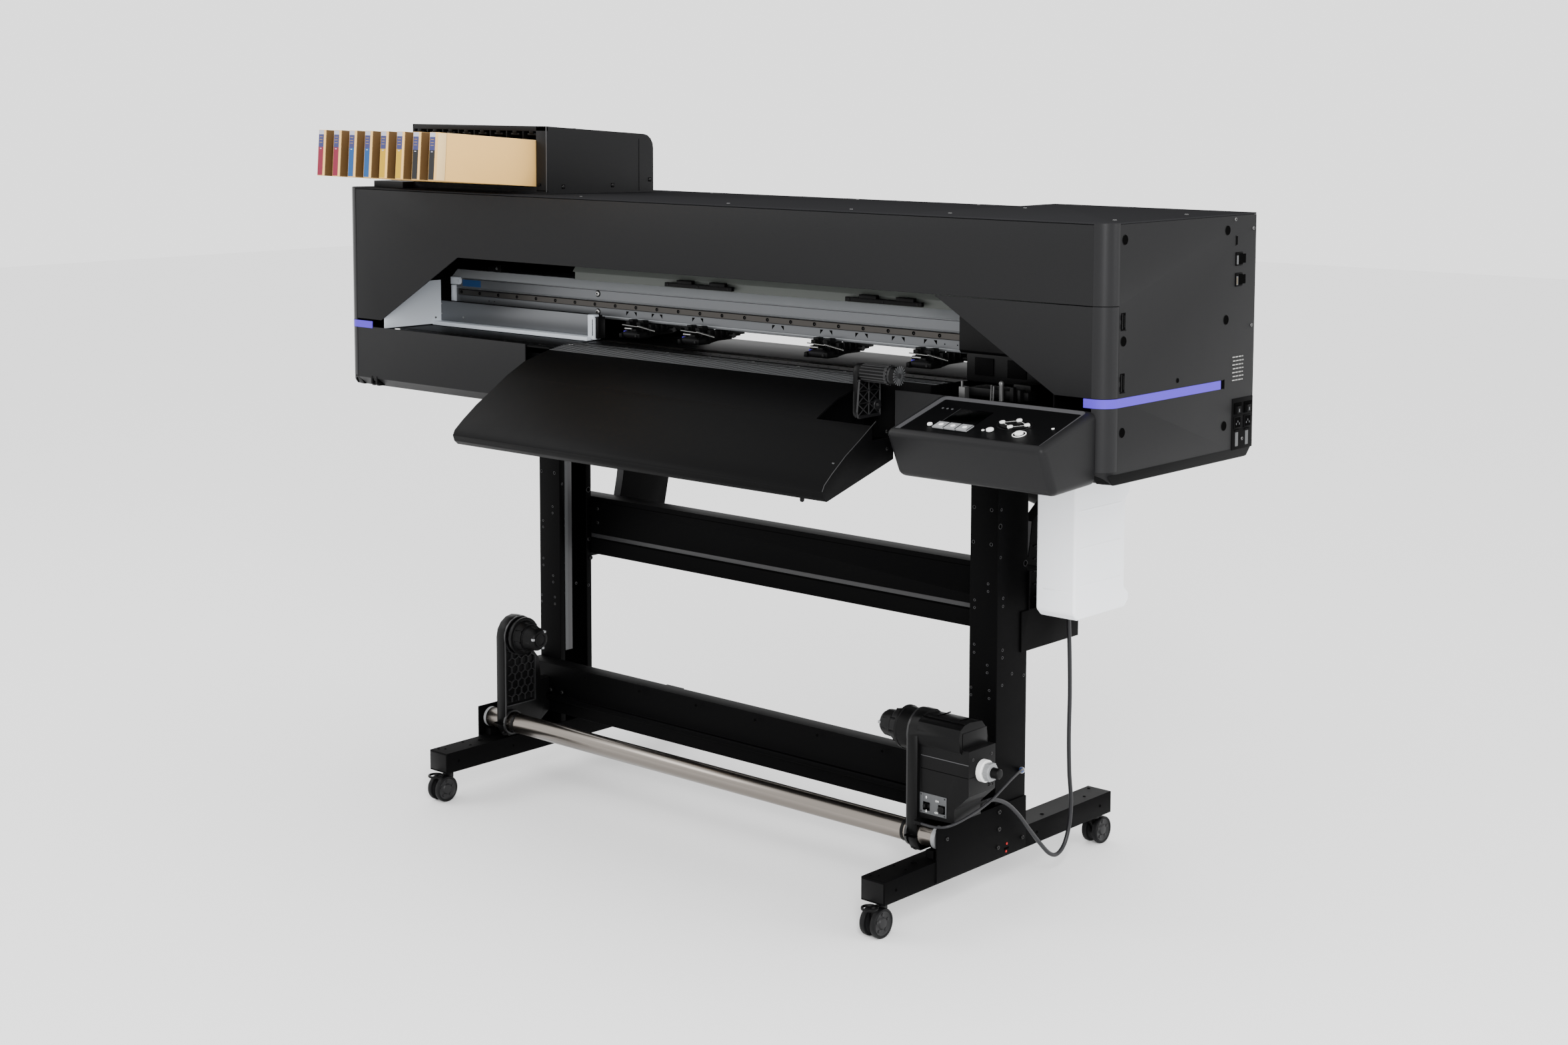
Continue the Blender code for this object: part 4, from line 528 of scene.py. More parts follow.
def make_beam():
    """Extruded cross beam with its grooves and lip, the ground rail, its screws and the small arrow marks."""
    drawn(side_view((300, 987.2), (191.5, 987.2), (190, 988.7), (190, 991.7), (191.5, 993.2), (195, 993.2),
                    (195, 1023.5), (196.2, 1024), (196.2, 1025.5), (195, 1026), (195, 1044), (198, 1044.6),
                    (198, 1046.2), (195.6, 1046.8), (211.5, 1061.2), (213.5, 1062.8), (235, 1062.8),
                    (235.5, 1059.8), (239, 1059.8), (239.5, 1062.8), (300, 1062.8)),
          "X", -INSIDE + 0.0003, INSIDE - 0.0003)
    # faces sloping up to the front are painted pale grey: a painted highlight on the beam's lip
    for face in BENCH.faces:
        if face.normal.y * face.normal.z < -0.2:
            face.material_index = 1
    piece("beam_extrusion", [ANODISED, LIP_PAINTED_HIGHLIGHT], "machine", "aluminium", stands_for="y_beam", crease=20.0)
    drawn(side_view((195, 1010), (187.2, 1010), (186, 1011.2), (186, 1021.8), (187.2, 1023), (195, 1023)), "X", -0.834,
          0.866)
    face = deep(0.186)
    for n in range(RAIL_HOLES):
        hole = -0.823 + RAIL_HOLE_PITCH * n
        turned(mm((-0.4, 4.4), (0.3, 4.4), (0.3, 3.7), (-0.2, 3.6)), (hole, face, 1.0165), TOWARDS, steps=20)
        turned(mm((0.15, 3.7), (0.15, 0)), (hole, face, 1.0165), TOWARDS, steps=20, paint=1)
        turned(mm((0.1, 1.7), (0.4, 1.5), (0.4, 0)), (hole + 0.0004, face, 1.0163), TOWARDS, steps=6, paint=2)
    piece("linear_rail", [RAIL_STEEL, HOLE_BLACK, DARK_SCREW], "machine", "stainless", crease=20.0)
    for x in ARROW_PAIRS:
        for side in (-1, 1):
            tip = x + side * 0.0125
            drawn([(tip - side * 0.0052, 1.0062), (tip + side * 0.0026, 1.0062), (tip + side * 0.0026, 0.9975)], "Y",
                  BEAM_FRONT - 0.00015, BEAM_FRONT + 0.0003)
    for x in (0.5021, 0.5311, -0.7431, -0.7257):
        turned(mm((-0.2, 1.4), (0.2, 1.3), (0.2, 0)), (x, BEAM_FRONT, 1.0006), TOWARDS, steps=10)
    piece("beam_marks", [HOLE_BLACK], "machine")
    for z in (1.0376, 0.9998):
        turned(mm((-0.4, 7), (0.3, 7), (0.3, 0)), (-0.403, BEAM_FRONT, z), TOWARDS, steps=24, paint=1)
        screw_head((-0.403, BEAM_FRONT, z), TOWARDS, 0.006, height=0.003)
    # sensor, its arm and the neutral label at the left end
    slabs((-862, -835, 187.5, 196, 1032, 1048, 2, 0.8), (-860, -850, 187.5, 196, 990, 1030, 2, 0.8),
          (-839, -833, 187.5, 205, 1035, 1045, 2, 0.8), (-765, -744, 212, 230, 1063, 1076, 3, 1),
          (-744, -718, 208, 232, 1063, 1080, 3, 1))
    turned(mm((-1, 3.5), (1.2, 3.5), (1.2, 0)), (-0.731, deep(0.208), 1.0715), TOWARDS, steps=16)
    piece("beam_fittings", [ZINC, HOLE_BLACK, WHITE_ENAMEL, BLACK_MOULDED], "machine")
    drawn(mm((-830, 1028.5), (-770, 1028.5), (-770, 1043), (-830, 1043)), "Y", BEAM_FRONT - 0.0002,
          BEAM_FRONT + 0.0004)
    piece("neutral_label", [LABEL_BLUE], "machine")
    # translucent cover strip over the beam and its two dark brackets
    drawn(side_view((196, 1079), (199, 1080), (215, 1100), (214, 1101), (197, 1081.2)), "X", -0.48, INSIDE - 0.002)
    block((-0.48, deep(0.203), 1.0625), (INSIDE - 0.002, deep(0.206), 1.081))
    piece("beam_light_strip", [STRIP_GREY], "machine")
    for start, end in ((-0.2032, -0.0194), (0.2707, 0.4531)):
        block((start, deep(0.188), 1.065), (end, deep(0.196), 1.0735), 0, 0.0008)
        for x in (start + 0.034, end - 0.06):
            slabs((0, 42, 187, 196.5, 1072, 1080, 0, 1.2), x=x)
        for x in (start + 0.01, end - 0.01, (start + end) / 2):
            screw_head((x, deep(0.188), 1.069), TOWARDS, 0.0022, paint=1, socket=0, height=0.001)
    piece("strip_brackets", [BLACK_MOULDED, DARK_SCREW], "machine")


def make_inner_panels():
    """Pale wall plates left of the platen, the end post, the deck's rear channel and the stop on the sill."""
    slabs((-866.5, -390, 163.6, 166, 952, 996.5, 4, 0.6))
    drawn(side_view((140, 945.2), (140, 950), (142.5, 952.5), (166, 952.5), (166, 945.2)), "X", -0.867, -0.38)
    slabs((-388, -370, 150, 166, 948, 998.5, 0, 1.5), (-374, -364, 146, 166, 948, 993, 0, 1.2),
          (-370, -367.5, 149.5, 146, 956, 990, 1))
    turned(mm((0, 2.2), (1.2, 1.8), (1.2, 0)), (-0.792, deep(0.1636), 0.964), TOWARDS, steps=12, paint=2)
    for x, z in ((-0.864, 0.968), (-0.864, 0.99)):
        turned(mm((0, 1.8), (0.8, 1.6), (0.8, 0)), (x, deep(0.1636), z), TOWARDS, steps=12, paint=2)
    slabs((-366, -356, 150, 170, 950, 995, 1, 1))
    # the pale end wall, seen through the slanted end of the window, and the white stop on the sill
    drawn(side_view((6, 947), (164, 947), (164, 1042), (6, 1042)), "X", -INSIDE, -INSIDE + 0.0009)
    turned(mm((0, 6), (2.2, 5.6), (2.6, 4), (2.6, 0)), (-0.838, deep(0.018), 0.9452), UP, steps=20, paint=3)
    screw_head((-INSIDE + 0.0009, deep(0.148), 0.96), OUT_RIGHT, 0.0026, paint=2, height=0.0012)
    piece("wall_plates", [WHITE_ENAMEL, BLACK_MOULDED, ZINC, KEY_PALE, ANODISED], "machine", "white_steel")


PINCH_XS = (-0.265, -0.1, 0.232, 0.478)
PINCH_Y = deep(0.215)
PINCH_Z = 0.975


def make_pinch_units():
    """Sprung pinch units under the beam: bracket, arm, roller with its violet ring, link rod and slanted spring."""
    for x in PINCH_XS:
        barrel((x - 0.032, PINCH_Y, PINCH_Z), (x + 0.062, PINCH_Y, PINCH_Z), 0.005, sides=16, paint=2)
        roll = (x, deep(0.155), 0.9655)
        # two upright ears and the plate between them
        for ear in (-0.026, 0.004):
            slabs((0, 13, 172, 188, 964, 993.5, 0, 1.4), (1, 12, 164, 176, 982, 990, 0, 1),
                  (0, 13, 186, 207, 964, 986, 0, 1.2), x=x + ear)
        slabs((-24, 18, 186, 212, 969, 981, 0, 1.4), x=x)
        drawn(side_view((150, 960), (150, 969), (176, 973), (214, 984), (262, 979), (268, 977.5), (262, 972),
              (222, 965), (180, 959)), "X", x + 0.012, x + 0.028, 0, 0.0012)
        drawn(side_view((146, 958), (146, 967), (170, 970), (205, 969), (205, 960), (165, 956.5)), "X", x - 0.027,
              x - 0.019, 0, 0.0012)
        slabs((-24, 22, 158, 190, 957, 966, 0, 1.8), (-30, -22, 166, 190, 960, 978, 0, 1.2),
              (-10, 6, 162, 178, 964, 976, 0, 1.4), x=x)
        for step in range(4):
            start = x + 0.026 + 0.006 * step
            near, rear, foot = deep(0.176 + 0.01 * step), deep(0.24 + 0.006 * step), 0.964 + 0.0035 * step
            drawn([(near, foot), (near, 0.986), (deep(0.214), 0.986), (rear, 0.9798), (rear, foot)], "X", start,
                  start + 0.0085, 0, 0.001)
        # roller, its hubs and violet ring
        turned(mm((-19, 0), (-19, 4.5), (-17.5, 6), (-12, 7), (12, 7), (17.5, 6), (19, 4.5), (19, 0)), roll,
               OUT_RIGHT, steps=24, paint=1)
        turned(mm((-21.5, 0), (-21.5, 3.5), (21.5, 3.5), (21.5, 0)), roll, OUT_RIGHT, steps=12, paint=2)
        # link rods, collar and the coil spring
        barrel((x - 0.032, deep(0.1615), 0.983), (x + 0.012, deep(0.1615), 0.9815), 0.0012, sides=10, paint=3)
        barrel((x - 0.022, deep(0.1595), 0.9762), (x - 0.002, deep(0.1595), 0.9762), 0.0022, sides=14, paint=3)
        barrel((x - 0.02, deep(0.1545), 0.9706), (x - 0.008, deep(0.1545), 0.9706), 0.0018, sides=14, paint=4)
        barrel((x - 0.008, deep(0.1545), 0.9706), (x + 0.004, deep(0.1545), 0.9706), 0.0018, sides=14, paint=5)
        turned(mm((-1, 2.6), (-1, 4.2), (1, 4.2), (1, 2.6), (-1, 2.6)), (x + 0.013, deep(0.176), 0.9795), OUT_RIGHT,
               steps=16, paint=2)
        start, finish_at = Vector((x + 0.012, deep(0.16), 0.983)), Vector((x + 0.046, deep(0.176), 0.9735))
        barrel(start, finish_at, 0.0016, sides=10, paint=3)
        for turn in range(14):
            spot = start.lerp(finish_at, 0.08 + turn * 0.066)
            turned(mm((-0.6, 2), (0, 2.9), (0.6, 2)), spot, finish_at - start, steps=10, paint=3)
        turned(mm((0, 2), (1.2, 2), (1.2, 0)), (x - 0.001, deep(0.16), 0.96), TOWARDS, steps=12, paint=5)
        turned(mm((0, 2.6), (1.6, 2.4), (1.6, 0)), (x + 0.018, deep(0.15), 0.964), TOWARDS, steps=12, paint=2)
    piece("pinch_units", [BLACK_MOULDED, TREAD, DARK_SCREW, ZINC, VIOLET, LABEL_BLUE], "pinch_bar", "black_plastic",
          stands_for="pinch_bar")


def make_carriage():
    """Carriage parked at the right: cover, head tray, front bracket, ribbon guide and fixing screws."""
    low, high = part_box("carriage")
    face = low.y
    drawn([(face + 0.004, 1.001), (face, 1.006), (face, 1.066), (face + 0.012, high.z - 0.0005),
          (high.y, high.z - 0.0005), (high.y, 1.001)], "X", low.x, high.x, 0, 0.0015)
    block((low.x + 0.015, face + 0.003, low.z), (high.x - 0.015, face + 0.039, 1.002), 0, 0.0015)
    for x in (low.x + 0.034, low.x + 0.104, low.x + 0.174):
        slabs((0, 40, 1, 3.6, 965, 996, 3, 0.8), (4, 36, 0.2, 2, 1012, 1052, 3, 0.8), x=x, y=face)
    slabs((-0.6, 2, 10, 50, 1020, 1056, 3, 0.6), (-1.5, 2, 14, 30, 1024, 1036, 3, 0.5), x=low.x, y=face)
    screw_head((low.x, face + 0.04, 1.03), (-1.0, 0.0, 0.0), 0.003, paint=1, socket=2)
    screw_head((low.x + 0.02, face, 1.06), TOWARDS, 0.0026, paint=1, socket=2)
    piece("carriage_shell", [BLACK_MOULDED, YELLOW_ZINC, HOLE_BLACK, BLACK_COAT], "carriage", "black_plastic",
          stands_for="carriage")


# ---------------------------------------------------------------- paper path and lever
PLATEN_TOP = 0.948
GUIDE_SLOPE = (0.948 - 0.941) / 0.045


def make_platen_details():
    """Fine lips on the guide, the cutting groove, the vacuum holes and screws, and the sensor group."""
    for depth in (0.003, 0.009, 0.015, 0.021, 0.027, 0.033, 0.039):
        z = 0.941 + depth * GUIDE_SLOPE
        slabs((-344, 464, 0, 1.4, -0.6, 0.9, 2, 0.3), y=deep(depth), z=z)
    slabs((-344, 598, 92.5, 95.5, -0.4, 0.4, 1), (-344, 598, 96.5, 100.5, -0.4, 0.6, 0, 0.2), z=PLATEN_TOP)
    for depth in (0.048, 0.054, 0.068, 0.081):
        slabs((-344, 598, 0, 1.2, -0.4, 0.5, 2, 0.2), y=deep(depth), z=PLATEN_TOP)
    piece("platen_lips", [GUIDE_BLACK, HOLE_BLACK, LAMP_GREY], "machine", "black_steel")
    for row, depth in enumerate((0.061, 0.075, 0.118)):
        x = -0.335 + 0.0125 * (row % 2)
        while x < 0.59:
            turned(mm((-0.2, 1.9), (0.15, 1.8), (0.15, 0)), (x, deep(depth), PLATEN_TOP), UP, steps=8)
            x += 0.025
    for n in range(9):
        screw_head((-0.32 + 0.113 * n, deep(0.084), PLATEN_TOP), UP, 0.003, paint=1, socket=0, height=0.0008)
    for x, depth in ((-0.336, 0.05), (-0.334, 0.056)):
        turned(mm((-0.2, 1.8), (0.5, 1.7), (0.6, 0)), (x, deep(depth), PLATEN_TOP), UP, steps=12, paint=2)
    piece("platen_holes", [HOLE_BLACK, ZINC, KEY_PALE], "machine", "black_steel")
    slabs((-860, -352, 6, 8.5, 944.8, 946.2, 0, 0.3), (-860, -352, 45, 47, 944.8, 945.8, 0, 0.3))
    for n in range(5):
        screw_head((-0.82 + 0.105 * n, deep(0.029), 0.945), UP, 0.0032, paint=1, socket=2, height=0.0009)
    piece("deck_lips", [GUIDE_BLACK, DARK_SCREW, HOLE_BLACK], "machine", "black_steel")


def make_station_fittings():
    """Wiping blade, springs and cap holders in the parking well at the platen's right end."""
    floor = 0.9449
    block((0.604, deep(0.02), floor - 0.018), (0.607, deep(0.12), PLATEN_TOP + 0.002), 2, 0.0006)
    block((0.659, deep(0.036), floor - 0.02), (0.6625, deep(0.04), 0.962), 0, 0.0008)
    block((0.656, deep(0.034), floor - 0.02), (0.669, deep(0.048), 0.952), 0, 0.0008)
    turned(mm((-30, 0), (-30, 4), (-4, 4), (0, 4.8), (2.5, 4), (4.2, 2), (4.6, 0)), (0.7424, deep(0.04), 0.964), UP,
           steps=20)
    slabs((670, 795, 44.5, 90, 937, 952, 1, 2), (764, 771.5, 34, 44, 935, 960, 1, 1.2),
          (752, 789, 60, 95, 948, 962.5, 1, 3), (780, 786, 34, 50, 935, 956.5, 1, 1.2))
    for x, z in ((0.7213, 0.9595), (0.7262, 0.958)):
        barrel((x, deep(0.038), floor - 0.02), (x, deep(0.04), z), 0.0013, sides=10)
    for n in range(8):
        turned(mm((-0.5, 1.4), (0, 2.2), (0.5, 1.4)), (0.7213, deep(0.0398), 0.945 + 0.0018 * n), UP, steps=10)
    piece("parking_station", [ZINC_DARK, BLACK_MOULDED, BLACK_COAT], "machine")


GUIDE_EDGE = ((0.0, 0.941), (-0.063, 0.9238), (-0.11, 0.9), (-0.152, 0.873), (-0.19, 0.85), (-0.225, 0.824),
              (-0.245, 0.807), (-0.25, 0.797))


def make_guide_details():
    """Grey trim along the guide's right end, painted light as a highlight on that edge, its small clip and screws, and
    the knob under the nose.
    """
    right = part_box("front_paper_guide")[1].x
    line = [(deep(d), z + 0.0006) for d, z in GUIDE_EDGE[2:]]
    under = [(deep(d + 0.0004), z - 0.0004) for d, z in GUIDE_EDGE[2:]][::-1]
    drawn(line + under, "X", right - 0.0006, right + 0.0002)
    slabs((574.5, 579, -207, -205, 837, 839.5, 1, 0.5))
    turned(mm((-2, 0), (-2, 3.4), (3, 4), (6.5, 3.4), (8, 0)), (0.533, deep(-0.235), 0.779), (0, 0, -1), steps=18,
           paint=2)
    for x in (-0.33, -0.12, 0.12, 0.34):
        screw_head((x, deep(-0.2478), 0.796), (0.0, -0.985, 0.15), 0.0024, paint=3, socket=2, height=0.0008)
    for z in (0.88, 0.85):
        screw_head((right, deep(-0.08), z), OUT_RIGHT, 0.003, paint=3, socket=2, height=0.001)
    piece("guide_trim", [RIB_PAINTED_HIGHLIGHT, LAMP_GREY, BLACK_MOULDED, DARK_SCREW], "machine", "black_plastic")


def make_lever_details():
    """Rim and triangular ribs of the lever's arm, flutes and rim of its grip, and the grip's grey end."""
    face = 0.479
    plane = face + 0.00225
    grip = (deep(-0.01), 0.966)
    pivot = (deep(0.026), 0.905)
    front = deep(-0.03)
    rim = [(grip[0] - 0.0135, 0.954), (front + 0.0005, 0.896), (front + 0.004, 0.8865), (pivot[0] + 0.008, 0.8865),
            (pivot[0] + 0.008, 0.944), (grip[0] + 0.012, 0.956)]
    for start, end in zip(rim, rim[1:] + rim[:1]):
        if start[1] > 0.95 and end[1] > 0.95:
            continue
        barrel((plane, *start), (plane, *end), 0.0021, sides=4)
    left, right = front + 0.0035, pivot[0] + 0.007
    knots = [(y, z) for z in (0.889, 0.911, 0.933, 0.952) for y in (left, (left + right) / 2, right)]
    mids = [(y, z) for y in ((left * 3 + right) / 4, (left + right * 3) / 4) for z in (0.9, 0.922, 0.943)]
    for a in mids:
        for b in knots:
            if math.dist(a, b) < 0.0215:
                barrel((plane, *a), (plane, *b), 0.0013, sides=4)
    for row in range(4):
        barrel((plane, *knots[row * 3]), (plane, *knots[row * 3 + 2]), 0.0013, sides=4)
    barrel((plane, *knots[1]), (plane, *knots[10]), 0.0013, sides=4)
    turned(mm((-1, 0), (-1, 10), (4, 10), (4.8, 9.2), (4.8, 5.5), (3, 5), (3, 0)), (face, *pivot), OUT_RIGHT,
           steps=28)
    turned(mm((3, 0), (3, 3.2), (5.2, 2.8), (5.2, 0)), (face, *pivot), OUT_RIGHT, steps=6, paint=1)
    for n in range(16):
        a = math.tau * n / 16
        for start, end, grow, radius in ((0.483, 0.536, 1.0, 0.0014), (0.537, 0.543, 1.09, 0.0019)):
            flute = (grip[0] + math.cos(a) * 0.015 * grow, grip[1] + math.sin(a) * 0.015 * grow)
            barrel((start, *flute), (end, *flute), radius, sides=8)
    turned(mm((0, 15), (0, 16.6), (0.8, 17.2), (5.2, 17.2), (6, 16.6), (6, 15)), (0.537, *grip), OUT_RIGHT, steps=36)
    turned(mm((0, 15.7), (4.5, 15.7), (5.2, 15), (16, 15), (16, 14)), (0.543, *grip), OUT_RIGHT, steps=36)
    turned(mm((-1, 14.8), (0.6, 14.4), (1.2, 13.2), (1.2, 9), (0.3, 8.2), (0.3, 0)), (0.5592, *grip), OUT_RIGHT,
           steps=36, paint=2)
    for n in range(20):
        a = math.tau * n / 20
        spot = Vector((0.5606, *grip))
        arm = Vector((0.0, math.cos(a), math.sin(a)))
        barrel(spot + arm * 0.005, spot + arm * 0.0172, 0.0004, 0.0009, sides=6, paint=3)
    turned(mm((0, 4.2), (1.2, 4), (1.2, 0)), (0.5602, *grip), OUT_RIGHT, steps=20, paint=2)
    piece("lever_ribs_and_grip", [LEVER_GREY, ZINC_DARK, DISC_GREY, LAMP_GREY], "clamp_lever", "black_plastic")


# ---------------------------------------------------------------- control panel
PANEL_BACK_TOP, PANEL_FRONT_TOP, PANEL_REACH = 0.9395, 0.895, 0.15
PANEL_TILT = math.atan2(PANEL_BACK_TOP - PANEL_FRONT_TOP, PANEL_REACH)
ALONG = 1.0 / math.cos(PANEL_TILT)
PANEL_NORMAL = Vector((0.0, -math.sin(PANEL_TILT), math.cos(PANEL_TILT)))
PANEL_FRAME = (Matrix.Translation(Vector((0.0, deep(0.0), PANEL_BACK_TOP)) - PANEL_NORMAL * 0.003)
               @ Matrix.Rotation(PANEL_TILT, 4, "X"))
KEY_TOP = 0.0041
PANEL_LAMPS = ((0.9245, -0.069, 0.0019, 0), (0.68, -0.042, 0.0016, 1), (0.69, -0.042, 0.0016, 1),
               (0.7, -0.042, 0.0016, 1), (0.8093, -0.1027, 0.002, 0))
ROUND_KEYS = (("select_key", 0.7035, -0.1075, 0.0045), ("power_key", 0.8228, -0.1015, 0.0065),
              ("enter_key", 0.881, -0.1015, 0.0075))


def panel_piece(name, finishes, body="machine", **more):
    """A piece drawn flat on the panel's sunk face, laid on its slope."""
    bmesh.ops.transform(BENCH, matrix=PANEL_FRAME, verts=BENCH.verts)
    return piece(name, finishes, body, **more)


def make_panel_housing():
    """Wedge-shaped panel housing with broad rounded edges and the sunk, round-cornered face."""
    low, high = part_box("panel_housing")
    outline = [(high.y, PANEL_BACK_TOP), (deep(-PANEL_REACH), PANEL_FRONT_TOP), (deep(-0.112), low.z),
                (high.y, low.z + 0.006)]
    face = BENCH.faces.new([BENCH.verts.new((low.x, y, z)) for y, z in outline])
    grown = bmesh.ops.extrude_face_region(BENCH, geom=[face])["geom"]
    bmesh.ops.translate(BENCH, vec=(high.x - low.x, 0.0, 0.0),
                verts=[g for g in grown if isinstance(g, bmesh.types.BMVert)])
    bmesh.ops.recalc_face_normals(BENCH, faces=BENCH.faces)
    round_ones = [e for e in BENCH.edges if e.calc_length() > 0.01
                  and not all(abs(v.co.y - high.y) < 0.0001 for v in e.verts)]
    bmesh.ops.bevel(BENCH, geom=round_ones, offset=0.0125, offset_type="OFFSET", affect="EDGES", segments=5,
                    profile=0.5, material=-1)
    top = max(BENCH.faces, key=lambda f: f.normal.dot(PANEL_NORMAL) * f.calc_area())
    bmesh.ops.inset_region(BENCH, faces=[top], thickness=0.0015, depth=0.0)
    far = sorted(top.verts, key=lambda v: -v.co.y)[:2]
    bmesh.ops.bevel(BENCH, geom=far, offset=0.011, offset_type="OFFSET", affect="VERTICES", segments=5, profile=0.5,
                material=-1)
    top = max(BENCH.faces, key=lambda f: f.normal.dot(PANEL_NORMAL) * f.calc_area())
    wall = bmesh.ops.inset_region(BENCH, faces=[top], thickness=0.0075, depth=-0.003)["faces"]
    # the sunk face's walls are painted light grey: a painted highlight round the recess
    for face in wall:
        face.material_index = 2
    top = max(BENCH.faces, key=lambda f: f.normal.dot(PANEL_NORMAL) * f.calc_area())
    top.material_index = 1
    piece("panel_case", [PANEL_MOULDED, PANEL_FACE, RIM_PAINTED_HIGHLIGHT], "machine", "charcoal_cover",
          stands_for="panel_housing", crease=40.0)


def make_panel_details():
    make_panel_housing()
    near, far = -0.0895 * ALONG, -0.0375 * ALONG
    block((0.715, near, 0.0), (0.783, far, 0.0008), 0, 0.0003)
    block((0.718, near + 0.004, 0.0006), (0.78, far - 0.004, 0.001), 2, 0.0002)
    block((0.7146, near + 0.001, 0.0002), (0.7149, far - 0.001, 0.0009), 1)
    panel_piece("display_window", [BLACK_GLOSS, LAMP_GREY, DISPLAY_GLASS])
    middle = (0.8506, -0.071 * ALONG)
    turned(mm((0.3, 30.2), (0.8, 30.6), (0.8, 34.2), (0.3, 34.6)), (0.0, 0.0, 0.0), UP, steps=48)
    bmesh.ops.scale(BENCH, vec=(1.0, 0.66, 1.0), verts=BENCH.verts)
    bmesh.ops.translate(BENCH, vec=(middle[0], middle[1], 0.0), verts=BENCH.verts)
    panel_piece("jog_surround", [BLACK_MOULDED])
    pad = [(middle[0] + 0.0295 * math.cos(a),
            middle[1] + 0.0185 * math.sin(a)) for a in (math.tau * n / 40 for n in range(40))]
    drawn(pad, "Z", 0.001, 0.0021, 0, 0.0004)
    tops = [(-0.0247, 0.0), (0.0, 0.0135), (0.0247, 0.0), (0.0, -0.0135)]
    for across, up in tops:
        turned(mm((1, 5), (3.4, 5), (4, 4.6), (4.3, 3.4), (4.3, 0)), (middle[0] + across, middle[1] + up, 0.0), UP,
               steps=26, paint=1)
    for (a, b), (c, d) in zip(tops, tops[1:] + tops[:1]):
        start = Vector((middle[0] + a * 0.8 + c * 0.2, middle[1] + b * 0.8 + d * 0.2, 0.0021))
        stop = Vector((middle[0] + a * 0.2 + c * 0.8, middle[1] + b * 0.2 + d * 0.8, 0.0021))
        barrel(start, stop, 0.00025, sides=6, paint=1)
    panel_piece("jog_keys", [BLACK_MOULDED, KEY_PALE], "jog_pad", slot="key_white", stands_for="jog_pad")
    for x, depth, radius, paint in PANEL_LAMPS:
        turned([(0.0, radius + 0.0007), (0.0008, radius + 0.0006), (0.0006, radius), (0.0009, radius * 0.7),
               (0.001, 0.0)], (x, depth * ALONG, 0.0), UP, steps=20, paint=paint)
    turned(mm((0, 12.2), (0.9, 12), (1.2, 11.4), (0.9, 10.6), (0.3, 10.4)), (0.881, -0.1015 * ALONG, 0.0), UP,
           steps=40)
    panel_piece("panel_lamps", [KEY_PALE, LAMP_GREY])
    for number, x in enumerate((0.7272, 0.7515, 0.7758), 1):
        turned([(KEY_TOP - 0.0002, 0.0044), (KEY_TOP + 0.0005, 0.0042), (KEY_TOP + 0.0007, 0.0034),
               (KEY_TOP + 0.0007, 0.0)], (x, -0.107 * ALONG, 0.0), UP, steps=24)
        slabs((10.8, 11.4, -11.2, 11.2, -0.4, 0.3, 1), x=x, y=-0.107 * ALONG, z=KEY_TOP)
        panel_piece(f"function_key_dot_{number}", [KEY_PALE, BLACK_MOULDED], f"function_key_{number}")
    for name, x, depth, radius in ROUND_KEYS:
        turned([(0.0009, radius), (0.0032, radius), (0.0039, radius - 0.0005), (0.0042, radius - 0.0016),
               (0.004, radius * 0.5), (0.004, 0.0)], (x, depth * ALONG, 0.0), UP)
        panel_piece(f"{name}_cap", [KEY_PALE], name, slot="key_white", stands_for=name)


# ---------------------------------------------------------------- ink unit
INK_TILT = math.radians(4.3)
CARTRIDGE_PITCH = 0.0502
CARTRIDGE_XS = [-0.8085 + CARTRIDGE_PITCH * n for n in range(8)]
CARTRIDGE_COLOURS = (LABEL_MAGENTA, LABEL_MAGENTA, LABEL_CYAN, LABEL_CYAN, LABEL_YELLOW, LABEL_YELLOW,
                     LABEL_BLACK, LABEL_BLACK)


def make_cartridge(number, x, colour):
    """Cardboard case with its seam and grip, painted shade on the flanks a neighbour shades, and the label of plain
    colour bands on the front.
    """
    half, length, height = 0.01225, 0.384, 0.094
    place = Matrix.Translation((x, deep(-0.2), 1.282)) @ Matrix.Rotation(-INK_TILT, 4, "X")
    block((-half, 0.0, 0.0), (half, length, height), 0, 0.0007)
    block((-half - 0.0001, 0.0008, 0.0008), (half + 0.0002, 0.022, height - 0.0008), 1, 0.0003)
    block((-half - 0.0002, 0.0222, 0.0004), (half + 0.0003, 0.0228, height + 0.0001), 2)
    block((half - 0.0012, 0.0222, height - 0.0006), (half + 0.0001, length, height + 0.0001), 1)
    slabs((-5.2, 5.2, 60, 150, -0.5, 0.3, 1, 0.2), y=0.0, z=height)
    # cartridges 1 to 7 get dark brown +x flanks: painted shade cast by the next cartridge
    if number < 8:
        for face in BENCH.faces:
            if face.normal.x > 0.9:
                face.material_index = 3
    bmesh.ops.transform(BENCH, matrix=place, verts=BENCH.verts)
    piece(f"cartridge_case_{number}", [CREAM, CREAM_LIGHT, SEAM_BROWN, CREAM_PAINTED_SHADE], f"ink_cartridge_{number}",
          "cartridge_case", stands_for=f"ink_cartridge_{number}")
    left, right, face = -half + 0.0012, half - 0.0072, -0.00025
    bands = ((0.902, 0.992, 0), (0.625, 0.902, 1), (0.012, 0.625, 2))
    for low, high, paint in bands:
        block((left, face, height * low), (right, 0.0004, height * high), paint)
    for n in range(3):
        z = height * (0.84 - 0.06 * n)
        block((left + 0.003, face - 0.0001, z), (right - 0.004, 0.0004, z + 0.0012), 3)
    block((left + 0.005, face - 0.0001, height * 0.585), (right - 0.006, 0.0004, height * 0.603), 0)
    bmesh.ops.transform(BENCH, matrix=place, verts=BENCH.verts)
    piece(f"cartridge_label_{number}", [LABEL_PALE, LABEL_VIOLET, colour, SEAM_BROWN], f"ink_cartridge_{number}")


